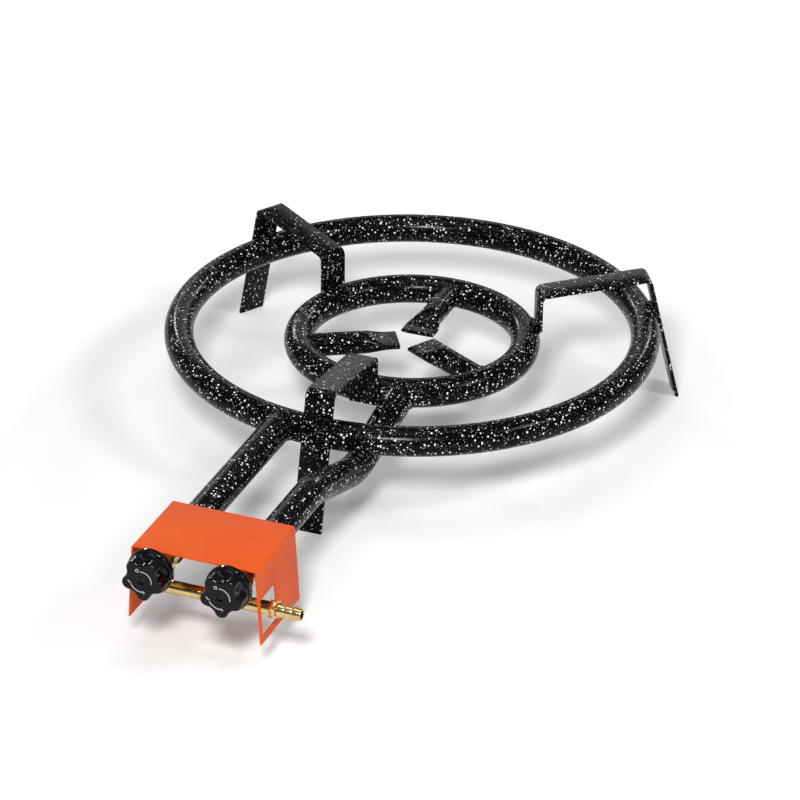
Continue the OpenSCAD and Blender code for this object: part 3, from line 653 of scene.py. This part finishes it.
def leg_r(z):
    """Radius of a support's outer face at a height: its inner face touches the outer ring."""
    reach = TUBE_R + WELD_GAP + BAR_T - (z - RING_Z) * math.sin(LEG_LEAN)
    return OUTER_R + reach / math.cos(LEG_LEAN)


def pan_support(name, angle):
    """Folded flat bar with eased edges, its foot cut level with the floor."""
    end_z = INNER_LEG_END[name]
    rise = max(end_z - INNER_Z, 0)
    inner_face = INNER_R + math.sqrt(TUBE_R ** 2 - rise ** 2) + WELD_GAP
    corners = [(leg_r(0), 0), (leg_r(SUPPORT_H), SUPPORT_H),
               (inner_face, SUPPORT_H - SUPPORT_FALL), (inner_face, end_z)]
    path = resample(rounded_path(corners, BAR_BEND_R), BAR_STEP)
    out, along = radial(angle)

    def ring(point, d, inset):
        made = []
        for u, v in rounded_rectangle(BAR_W - 2 * inset, BAR_T - 2 * inset, EDGE_R):
            v += BAR_T / 2
            r, z = point.x - d.y * v, point.y + d.x * v
            made.append(out * r + along * u + raised(z))
        return made

    rings = [ring(point, d, 0) for point, d in path]
    foot = path[0][1]
    rings[0] = [p - out * foot.x * (p.z / foot.y) - raised(foot.y * (p.z / foot.y)) for p in rings[0]]
    end, end_d = path[-1]
    rings.append(ring(end + end_d * EDGE_R, end_d, EDGE_R))
    verts, faces = loft(rings)
    piece = add_piece(name + "_support_bar", verts, faces, [ENAMEL])
    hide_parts(name + "_pan_support")


def hollow_tube(name, node, x, corners, bend_r):
    """Feed tube in an upright plane, with faint wrinkles on the inside of its bends."""
    path = resample(rounded_path(corners, bend_r, steps=FEED_BEND_STEPS), FEED_STEP)
    outer, inner = [], []
    travelled = 0.0
    for i, (point, d) in enumerate(path):
        before, after = path[max(i - 1, 0)], path[min(i + 1, len(path) - 1)]
        travelled += (point - before[0]).length
        turn = before[1].x * after[1].y - before[1].y * after[1].x
        bend = max(-1.0, min(1.0, turn * WRINKLE_GAIN))
        normal = Vector((-d.y, d.x))
        outside, inside = [], []
        for c, s in circle(FEED_SIDES):
            squeeze = max(0.0, c * bend) ** 2
            r = TUBE_R + WRINKLE * squeeze * math.sin(2 * math.pi * travelled / WRINKLE_PITCH)
            for made, radius in ((outside, r), (inside, TUBE_R - TUBE_WALL)):
                p = point + normal * radius * c
                made.append(Vector((x + radius * s, p.x, p.y)))
        outer.append(outside)
        inner.append(inside)
    verts, faces = loft(outer + inner[::-1], loop=True)
    piece = add_piece(name, verts, faces, [ENAMEL])
    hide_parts(node)


def ring_tube(name, node, ring_r, ring_z, count, joints=()):
    """Ring tube with two staggered rows of ports on its crown, and one on its inner side between joints."""
    rings = []
    for i in range(2 * count):
        out, _ = radial(180 * i / count)
        rings.append([out * (ring_r + TUBE_R * c) + raised(ring_z + TUBE_R * s)
                      for c, s in circle(RING_SIDES)])
    verts, faces = loft(rings, loop=True)
    piece = add_piece(name, verts, faces, [ENAMEL])
    lines = []

    def port(angle, offset, lean):
        out, _ = radial(angle)
        axis = raised(math.cos(lean)) - out * math.sin(lean)
        depth = math.sqrt(TUBE_R ** 2 - offset ** 2)
        mouth = out * (ring_r + offset) + raised(ring_z) + axis * depth
        lines.append((mouth - axis * PORT_DEPTH, mouth + axis * PORT_DEPTH))

    def clear_of_joints(angle):
        chords = [abs(2 * math.sin(math.radians(angle - a) / 2)) for a in joints]
        return all(chord * (ring_r - TUBE_R) > JET_R for chord in chords)

    for i in range(count):
        angle = 360 * (i + PORT_SHIFT) / count
        port(angle, CROWN_OFFSET, 0)
        port(angle + 180 / count, -CROWN_OFFSET, 0)
        if clear_of_joints(angle):
            port(angle, 0, SIDE_ROW_LEAN)
    drill(piece, lines, PORT_R)
    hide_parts(node)


def jet(name, angle):
    """Dead-end tube pressed flat at its tip, with a fine seam in the tip and drilled ports."""
    out, along = radial(angle)

    def ring(radius, half_w, half_h, squareness):
        made = []
        for c, s in circle(JET_SIDES, JET_PHASE):
            u = half_w * math.copysign(abs(c) ** (2 / squareness), c)
            v = half_h * math.copysign(abs(s) ** (2 / squareness), s)
            made.append(out * radius + along * u + raised(INNER_Z + v))
        return made

    def roundness(radius):
        return smoothstep((radius - JET_FLAT_END) / (JET_ROUND - JET_FLAT_END))

    def half_height(t):
        return JET_TIP_T / 2 + (JET_R - JET_TIP_T / 2) * t

    tip_w, tip_h = JET_TIP_W / 2, JET_TIP_T / 2
    rings = [ring(JET_TIP + SEAM_DEPTH, tip_w - SEAM_MARGIN, SEAM_H, TIP_SQUARENESS),
             ring(JET_TIP + SEAM_MOUTH, tip_w - SEAM_MARGIN, SEAM_H, TIP_SQUARENESS),
             ring(JET_TIP, tip_w - TIP_EDGE_W, tip_h - TIP_EDGE_T, TIP_SQUARENESS),
             ring(JET_TIP + TIP_EDGE_DEPTH, tip_w, tip_h, TIP_SQUARENESS)]
    for i in range(JET_TIP_STEPS + 1):
        radius = JET_TIP + TIP_LEAD + (JET_ROUND - JET_TIP - TIP_LEAD) * i / JET_TIP_STEPS
        t = roundness(radius)
        rings.append(ring(radius, tip_w + (JET_R - tip_w) * t, half_height(t),
                          TIP_SQUARENESS + (ROUND_SQUARENESS - TIP_SQUARENESS) * t))
    for i in range(1, JET_TUBE_STEPS + 1):
        radius = JET_ROUND + (JET_END - JET_ROUND) * i / JET_TUBE_STEPS
        rings.append(ring(radius, JET_R, JET_R, ROUND_SQUARENESS))
    verts, faces = loft(rings)
    piece = add_piece(name + "_jet_tube", verts, faces, [ENAMEL])
    lines = []
    for side, stagger in ((-1, 0), (1, 0.5)):
        for i in range(JET_PORTS):
            radius = JET_LAST_PORT - JET_PORT_PITCH * (i + stagger)
            crown = INNER_Z + half_height(roundness(radius))
            mouth = out * radius + along * side * CROWN_OFFSET + raised(crown)
            lines.append((mouth - raised(PORT_DEPTH), mouth + raised(PORT_DEPTH)))
    drill(piece, lines, PORT_R)
    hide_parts(name + "_jet")


def cover():
    """Folded sheet with eased edges and a window in its right side plate."""
    half = COVER_W / 2
    corners = [(half + COVER_SPLAY, COVER_LOW_Z), (half, COVER_TOP_Z),
               (-half, COVER_TOP_Z), (-half - COVER_SPLAY, COVER_LOW_Z)]
    path = rounded_path(corners, COVER_FOLD_R, steps=COVER_FOLD_STEPS)
    lean = (path[1][0] - path[0][0]) / (path[1][0].y - path[0][0].y)
    window = [path[0][0] + lean * (z - COVER_LOW_Z) for z in WINDOW_Z]
    stations = [path[0][0], *window, *[p for p, _ in path[1:]]]
    rows = [COVER_FRONT_Y, *WINDOW_Y, COVER_BACK_Y]
    window_cell = (1, 1)
    verts = [Vector((p.x + FEED_SHIFT, y, p.y)) for p in stations for y in rows]
    n = len(rows)
    faces = []
    for i in range(len(stations) - 1):
        for k in range(n - 1):
            if (i, k) != window_cell:
                faces.append((i * n + k, i * n + k + 1, (i + 1) * n + k + 1, (i + 1) * n + k))
    piece = add_piece("cover_sheet", verts, faces, [PAINT], sharp=COVER_SHARP_ANGLE)
    if piece.data.polygons[0].normal.x < 0:
        piece.data.flip_normals()
    thick = piece.modifiers.new("sheet", "SOLIDIFY")
    thick.thickness = COVER_T
    thick.offset = -1
    thick.use_even_offset = True
    ease = piece.modifiers.new("edges", "BEVEL")
    ease.width = COVER_EDGE
    ease.segments = COVER_EDGE_STEPS
    ease.limit_method = "ANGLE"
    ease.angle_limit = COVER_EDGE_ANGLE
    apply_modifiers(piece)
    piece.data.set_sharp_from_angle(angle=math.radians(COVER_SHARP_ANGLE))
    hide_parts("control_cover")


def lobed_radius(angle):
    """Radius of the grip's outline: lobe circles joined by hollows that run smoothly into them."""
    lobe_at = KNOB_D / 2 - LOBE_R
    waist = KNOB_WAIST_D / 2
    step = math.pi / LOBES
    c = math.cos(step)
    hollow_r = ((lobe_at ** 2 + waist ** 2 - 2 * lobe_at * waist * c - LOBE_R ** 2)
                / (2 * (LOBE_R + lobe_at * c - waist)))
    hollow_at = waist + hollow_r
    phi = abs((angle - FIRST_LOBE + step) % (2 * step) - step)
    to_hollow = Vector((hollow_at * c - lobe_at, hollow_at * math.sin(step))).normalized()
    touch = math.atan2(LOBE_R * to_hollow.y, lobe_at + LOBE_R * to_hollow.x)
    if phi < touch:
        return lobe_at * math.cos(phi) + math.sqrt(max(0, LOBE_R ** 2 - (lobe_at * math.sin(phi)) ** 2))
    psi = phi - step
    return hollow_at * math.cos(psi) - math.sqrt(max(0, hollow_r ** 2 - (hollow_at * math.sin(psi)) ** 2))


def knob(side, x):
    """Lobed grip whose hollows run out on a round skirt, with a recess for the screw."""
    angles = [2 * math.pi * k / KNOB_SIDES for k in range(KNOB_SIDES)]
    outline = [lobed_radius(a) for a in angles]

    def ring(y, radii):
        return [Vector((x + r * math.cos(a), y, AXIS_Z + r * math.sin(a))) for a, r in zip(angles, radii)]

    def round_ring(y, r):
        return ring(y, [r] * KNOB_SIDES)

    rings = [round_ring(KNOB_FACE_Y + RECESS_DEPTH, SCREW_HOLE_R),
             round_ring(KNOB_FACE_Y + RECESS_DEPTH, RECESS_R),
             round_ring(KNOB_FACE_Y + RECESS_EDGE_DEPTH, RECESS_R),
             round_ring(KNOB_FACE_Y, RECESS_R + RECESS_EDGE_W)]
    for share in FACE_SHARES:
        rings.append(ring(KNOB_FACE_Y, [RECESS_R + (r - FACE_EDGE - RECESS_R) * share for r in outline]))
    for depth, inset in quarter_round(FACE_EDGE_STEPS):
        rings.append(ring(KNOB_FACE_Y + FACE_EDGE * depth, [r - FACE_EDGE * inset for r in outline]))
    grip_front = KNOB_FACE_Y + FACE_EDGE
    grip_back = SKIRT_FRONT_Y + SKIRT_STEP
    for i in range(1, GRIP_STEPS + 1):
        t = i / GRIP_STEPS
        flare = smoothstep((t - FLARE_START) / (1 - FLARE_START)) * FLARE_SHARE
        rings.append(ring(grip_front + (grip_back - grip_front) * t,
                          [r + (SKIRT_R - SKIRT_EDGE - r) * flare for r in outline]))
    for depth, inset in quarter_round(SKIRT_EDGE_STEPS):
        rings.append(round_ring(grip_back + SKIRT_EDGE * depth, SKIRT_R - SKIRT_EDGE * inset))
    bore_r = SPINDLE_R + SPINDLE_FIT
    rings += [round_ring(KNOB_BACK_Y - BACK_EDGE, SKIRT_R), round_ring(KNOB_BACK_Y, SKIRT_R - BACK_EDGE),
              round_ring(KNOB_BACK_Y, SKIRT_R - SKIRT_WALL), round_ring(SKIRT_FLOOR_Y, SKIRT_R - SKIRT_WALL),
              round_ring(SKIRT_FLOOR_Y, HUB_R), round_ring(KNOB_BACK_Y, HUB_R),
              round_ring(KNOB_BACK_Y, bore_r), round_ring(KNOB_BORE_Y, bore_r),
              round_ring(KNOB_BORE_Y, SCREW_HOLE_R)]
    verts, faces = loft(rings, loop=True)
    piece = add_piece(side + "_grip", verts, faces, [BAKELITE, BAKELITE_FACE], side + "_handle")
    for polygon in piece.data.polygons:
        if abs(polygon.center.y - KNOB_FACE_Y) < FACE_TOLERANCE:
            polygon.material_index = 1
    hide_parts(side + "_knob")


def flat_mark(points, width):
    """Rings of a thin raised strip along points on a knob's face."""
    lift = Vector((0, -MARK_LIFT, 0))
    sink = Vector((0, MARK_LIFT, 0))
    rings = []
    for i, p in enumerate(points):
        d = (points[min(i + 1, len(points) - 1)] - points[max(i - 1, 0)]).normalized()
        across = Vector((-d.z, 0, d.x)) * (width / 2)
        rings.append([p + across + lift, p - across + lift, p - across + sink, p + across + sink])
    return rings


def knob_marks(side, x):
    """Printed turn marks: an arc with a ring for shut, and an arc from the large to the small flame."""
    def at(radius, degrees):
        a = math.radians(degrees)
        return Vector((x + radius * math.cos(a), KNOB_FACE_Y, AXIS_Z + radius * math.sin(a)))

    def arc(radius, start, stop):
        return [at(radius, start + (stop - start) * i / MARK_STEPS) for i in range(MARK_STEPS + 1)]

    ring_at = at(*SHUT_RING)
    ring = [ring_at + Vector((SHUT_RING_R * c, 0, SHUT_RING_R * s)) for c, s in circle(MARK_RING_SIDES)]
    strips = [flat_mark(arc(*SHUT_ARC), MARK_W),
              flat_mark(arc(*FLAME_ARC), MARK_W),
              flat_mark(ring + [ring[0], ring[1]], THIN_MARK_W),
              flat_mark([at(*p) for p in LARGE_FLAME], MARK_W),
              flat_mark([at(*p) for p in SMALL_FLAME], THIN_MARK_W)]
    verts, faces = [], []
    for rings in strips:
        strip_verts, strip_faces = loft(rings)
        base = len(verts)
        verts += strip_verts
        faces += [tuple(i + base for i in face) for face in strip_faces]
    add_piece(side + "_knob_marks", verts, faces, [PRINT], side + "_handle")


def return_spring(side, x):
    """Coil spring between plug and spindle, riding the plug."""
    steps = SPRING_STEPS * SPRING_TURNS
    rings = []
    for i in range(steps + 1):
        a = 2 * math.pi * i / SPRING_STEPS
        y = SPRING_FRONT_Y + (SPRING_BACK_Y - SPRING_FRONT_Y) * i / steps
        rings.append([Vector((x + (SPRING_R + SPRING_WIRE_R * c) * math.cos(a), y + SPRING_WIRE_R * s,
                              AXIS_Z + (SPRING_R + SPRING_WIRE_R * c) * math.sin(a)))
                      for c, s in circle(SPRING_SIDES)])
    verts, faces = loft(rings)
    piece = add_piece(side + "_coil", verts, faces, [STEEL], side + "_plug")
    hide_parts(side + "_return_spring")
    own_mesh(piece)


def nozzle():
    """Turned brass nozzle: chamfered hexagon, barbs with short lands, and an open bore."""
    angles = [2 * math.pi * k / NOZZLE_SIDES for k in range(NOZZLE_SIDES)]
    half_af = HEX_AF / 2
    face = half_af - HEX_FACE_INSET
    corner = half_af / math.cos(math.pi / 6) - HEX_CORNER_INSET

    def ring(x, radii):
        return [Vector((x, PIPE_Y + r * math.cos(a), PIPE_Z + r * math.sin(a)))
                for a, r in zip(angles, radii)]

    def turned(x, radius):
        return ring(x, [radius] * NOZZLE_SIDES)

    def hexagon(x, limit):
        sixths = [(a + math.pi / 6) % (math.pi / 3) - math.pi / 6 for a in angles]
        return ring(x, [min(limit, half_af / math.cos(a)) for a in sixths])

    rings = [turned(COLLAR_X, COLLAR_FACE_R), hexagon(COLLAR_X, face),
             hexagon(COLLAR_X + HEX_CHAMFER, corner), hexagon(BARB_X - HEX_CHAMFER, corner),
             hexagon(BARB_X, face), turned(BARB_X, BARB_ROOT_R)]
    for i in range(BARBS):
        x = BARB_X + BARB_PITCH * i
        rings += [turned(x + BARB_NICK, BARB_ROOT_R + BARB_NICK),
                  turned(x + BARB_RISE, BARB_R - BARB_RISE_INSET),
                  turned(x + BARB_ROUND, BARB_R), turned(x + BARB_LAND, BARB_R),
                  turned(x + BARB_PITCH - BARB_NICK, BARB_ROOT_R)]
    end = BARB_X + BARB_PITCH * BARBS
    rings += [turned(end, BARB_ROOT_R - NOZZLE_END_INSET), turned(end, MOUTH_R + MOUTH_EDGE),
              turned(end - MOUTH_EDGE, MOUTH_R), turned(end - MOUTH_DEPTH, MOUTH_R),
              turned(end - MOUTH_TAPER_DEPTH, NOZZLE_BORE_R), turned(COLLAR_X, NOZZLE_BORE_R)]
    verts, faces = loft(rings, loop=True)
    piece = add_piece("barbed_nozzle", verts, faces, [BRASS])
    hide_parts("hose_nozzle")


# Welds

def bead(name, points, radius, closed, seed):
    """Weld bead along points: a lumpy tube with the ripples of the run."""
    rng = random.Random(seed)
    count = len(points)
    rings = []
    for i, p in enumerate(points):
        a, b = points[(i - 1) % count], points[(i + 1) % count]
        if not closed:
            a, b = points[max(i - 1, 0)], points[min(i + 1, count - 1)]
        d = (b - a).normalized()
        side = d.orthogonal().normalized()
        up = d.cross(side)
        taper = 1.0 if closed else max(BEAD_END_SHARE, math.sin(math.pi * (i + 0.5) / count)) ** 0.5
        r = radius * taper * (1 + RIPPLE * math.sin(i * RIPPLE_STEP) + LUMP * (rng.random() - 0.5))
        rings.append([p + (side * c + up * s) * r for c, s in circle(BEAD_SIDES)])
    verts, faces = loft(rings, loop=closed)
    add_piece(name, verts, faces, [ENAMEL], sharp=BEAD_SHARP_ANGLE)


def ring_distance(p, ring_r, ring_z):
    """Distance of a point from a ring tube's surface."""
    return math.hypot(math.hypot(p.x, p.y) - ring_r, p.z - ring_z) - TUBE_R


def saddle(origin, d, radius, ring_r, ring_z, reach):
    """Points where a round tube that runs from an origin along d meets a ring tube within reach."""
    side = d.cross(raised(1)).normalized()
    up = side.cross(d)
    points = []
    for c, s in circle(SADDLE_SIDES):
        rim = origin + (side * c + up * s) * radius
        nearest, least = 0.0, None
        for i in range(SADDLE_STEPS + 1):
            t = reach * i / SADDLE_STEPS
            gap = ring_distance(rim + d * t, ring_r, ring_z)
            if least is None or gap < least:
                nearest, least = t, gap
            if gap <= SADDLE_TOUCH:
                break
        points.append(rim + d * nearest)
    return points


def leg_beads(name, angle, ring_r, ring_z, lean, spread, seed):
    """Two beads in the wedges above and below the line where a leg touches a ring tube."""
    out, along = radial(angle)
    for k, tilt in enumerate((lean + spread, lean - spread)):
        points = []
        r = ring_r + (TUBE_R + LEG_BEAD_LIFT) * math.cos(tilt)
        for i in range(LEG_BEAD_STEPS + 1):
            turn = LEG_BEAD_W * (i / LEG_BEAD_STEPS - 0.5) / r
            d = out * math.cos(turn) + along * math.sin(turn)
            points.append(d * r + raised(ring_z + (TUBE_R + LEG_BEAD_LIFT) * math.sin(tilt)))
        bead(f"{name}_weld_{k}", points, LEG_BEAD_R, False, seed + k)


def welds():
    """Beads where feed tubes, jets and supports meet the rings."""
    start = Vector((LEFT_X, OUTER_JOINT_Y - OUTER_FEED_START, RING_Z))
    line = saddle(start, Vector((0, 1, 0)), TUBE_R, OUTER_R, RING_Z, OUTER_FEED_START)
    bead("outer_feed_weld", line, FEED_BEAD_R, True, 1)
    d = Vector((0, INNER_JOINT_Y + OUTER_R, INNER_Z - DIP_LOW_Z)).normalized()
    start = Vector((RIGHT_X, INNER_JOINT_Y, INNER_Z)) - d * INNER_FEED_START
    line = saddle(start, d, TUBE_R, INNER_R, INNER_Z, INNER_FEED_REACH)
    bead("inner_feed_weld", line, FEED_BEAD_R, True, 2)
    for k, (name, angle) in enumerate(JET_ANGLES.items()):
        out, _ = radial(angle)
        start = out * (INNER_R - JET_START) + raised(INNER_Z)
        line = saddle(start, out, JET_R, INNER_R, INNER_Z, JET_REACH)
        bead(name + "_jet_weld", line, JET_BEAD_R, True, 10 + k)
    for k, (name, angle) in enumerate(SUPPORT_ANGLES.items()):
        leg_beads(name + "_outer", angle, OUTER_R, RING_Z, LEG_LEAN, OUTER_LEG_SPREAD, 20 + 2 * k)
        rise = INNER_LEG_END[name] - INNER_Z
        lift, spread = 0.0, INNER_LEG_SPREAD
        if rise > 0:
            lift, spread = math.asin(rise / TUBE_R), HIGH_LEG_SPREAD
        leg_beads(name + "_inner", angle, INNER_R, INNER_Z, lift, spread, 30 + 2 * k)


for support, support_angle in SUPPORT_ANGLES.items():
    pan_support(support, support_angle)
ring_tube("outer_ring_tube", "outer_ring", OUTER_R, RING_Z, OUTER_PORTS)
ring_tube("inner_ring_tube", "inner_ring", INNER_R, INNER_Z, INNER_PORTS, JET_ANGLES.values())
for jet_name, jet_angle in JET_ANGLES.items():
    jet(jet_name, jet_angle)
hollow_tube("straight_feed", "outer_feed_tube", LEFT_X,
            [(MOUTH_Y, RING_Z), (OUTER_JOINT_Y, RING_Z)], DIP_BEND_R)
hollow_tube("dipping_feed", "inner_feed_tube", RIGHT_X,
            [(MOUTH_Y, RING_Z), (DIP_Y, RING_Z), (-OUTER_R, DIP_LOW_Z), (INNER_JOINT_Y, INNER_Z)],
            DIP_BEND_R)
cover()
for tap, tap_x in (("left", LEFT_X), ("right", RIGHT_X)):
    knob(tap, tap_x)
    knob_marks(tap, tap_x)
    return_spring(tap, tap_x)
nozzle()
welds()


# Stage, light and camera

def floor():
    """Pale floor that keeps the shadow and turns white for the camera away from the part."""
    bpy.ops.mesh.primitive_plane_add(size=FLOOR_SIZE, location=(0, 0, -FLOOR_DROP))
    plane = bpy.context.object
    plane.name = "floor"
    material = bpy.data.materials.new("floor")
    material.use_nodes = True
    tree = material.node_tree
    tree.nodes.clear()
    diffuse = tree.nodes.new("ShaderNodeBsdfDiffuse")
    diffuse.inputs["Color"].default_value = FLOOR_COLOUR
    glow = tree.nodes.new("ShaderNodeEmission")
    path = tree.nodes.new("ShaderNodeLightPath")
    place = tree.nodes.new("ShaderNodeTexCoord")
    oval = tree.nodes.new("ShaderNodeMapping")
    oval.inputs["Scale"].default_value = GLOW_SCALE
    oval.inputs["Location"].default_value = GLOW_SHIFT
    tree.links.new(place.outputs["Object"], oval.inputs["Vector"])
    away = tree.nodes.new("ShaderNodeVectorMath")
    away.operation = "LENGTH"
    tree.links.new(oval.outputs["Vector"], away.inputs[0])
    rise = tree.nodes.new("ShaderNodeMapRange")
    rise.inputs["From Min"].default_value, rise.inputs["From Max"].default_value = GLOW_REACH
    rise.inputs["To Min"].default_value, rise.inputs["To Max"].default_value = GLOW_STRENGTH
    tree.links.new(away.outputs["Value"], rise.inputs["Value"])
    share = tree.nodes.new("ShaderNodeMath")
    share.operation = "MULTIPLY"
    tree.links.new(path.outputs["Is Camera Ray"], share.inputs[0])
    tree.links.new(rise.outputs["Result"], share.inputs[1])
    tree.links.new(share.outputs[0], glow.inputs["Strength"])
    both = tree.nodes.new("ShaderNodeAddShader")
    tree.links.new(diffuse.outputs[0], both.inputs[0])
    tree.links.new(glow.outputs[0], both.inputs[1])
    out = tree.nodes.new("ShaderNodeOutputMaterial")
    tree.links.new(both.outputs[0], out.inputs["Surface"])
    plane.data.materials.append(material)


def surroundings():
    """White for the camera, and a weaker light for everything else."""
    world = bpy.data.worlds.new("studio")
    scene.world = world
    world.use_nodes = True
    tree = world.node_tree
    background = tree.nodes["Background"]
    background.inputs["Color"].default_value = (1, 1, 1, 1)
    path = tree.nodes.new("ShaderNodeLightPath")
    strength = tree.nodes.new("ShaderNodeMapRange")
    strength.inputs["To Min"].default_value, strength.inputs["To Max"].default_value = WORLD_STRENGTH
    tree.links.new(path.outputs["Is Camera Ray"], strength.inputs["Value"])
    tree.links.new(strength.outputs["Result"], background.inputs["Strength"])


def lamps():
    """Soft lamps in front and above, and behind for the sheen and the glints on the rings."""
    for name, place, size, power in LAMPS:
        lamp = bpy.data.lights.new(name, "AREA")
        lamp.shape = "RECTANGLE"
        lamp.size, lamp.size_y = size
        lamp.energy = power
        obj = bpy.data.objects.new(name, lamp)
        obj.location = place
        obj.rotation_euler = (LAMP_TARGET - Vector(place)).to_track_quat("-Z", "Y").to_euler()
        scene.collection.objects.link(obj)


def camera():
    """Camera at the photograph's angle, fitted to the rings, supports and cover."""
    flat = math.cos(ELEVATION)
    back = Vector((math.sin(AZIMUTH) * flat, -math.cos(AZIMUTH) * flat, math.sin(ELEVATION)))
    right = Vector((math.cos(AZIMUTH), math.sin(AZIMUTH), 0))
    up = back.cross(right)
    data = bpy.data.cameras.new("camera")
    data.sensor_width = SENSOR
    data.lens = LENS
    obj = bpy.data.objects.new("camera", data)
    x = right * math.cos(ROLL) + up * math.sin(ROLL)
    y = up * math.cos(ROLL) - right * math.sin(ROLL)
    turn = Matrix((x, y, back)).transposed().to_4x4()
    obj.matrix_world = Matrix.Translation(TARGET + back * DISTANCE) @ turn
    scene.collection.objects.link(obj)
    scene.camera = obj


floor()
surroundings()
lamps()
camera()
scene.view_settings.view_transform = "Standard"
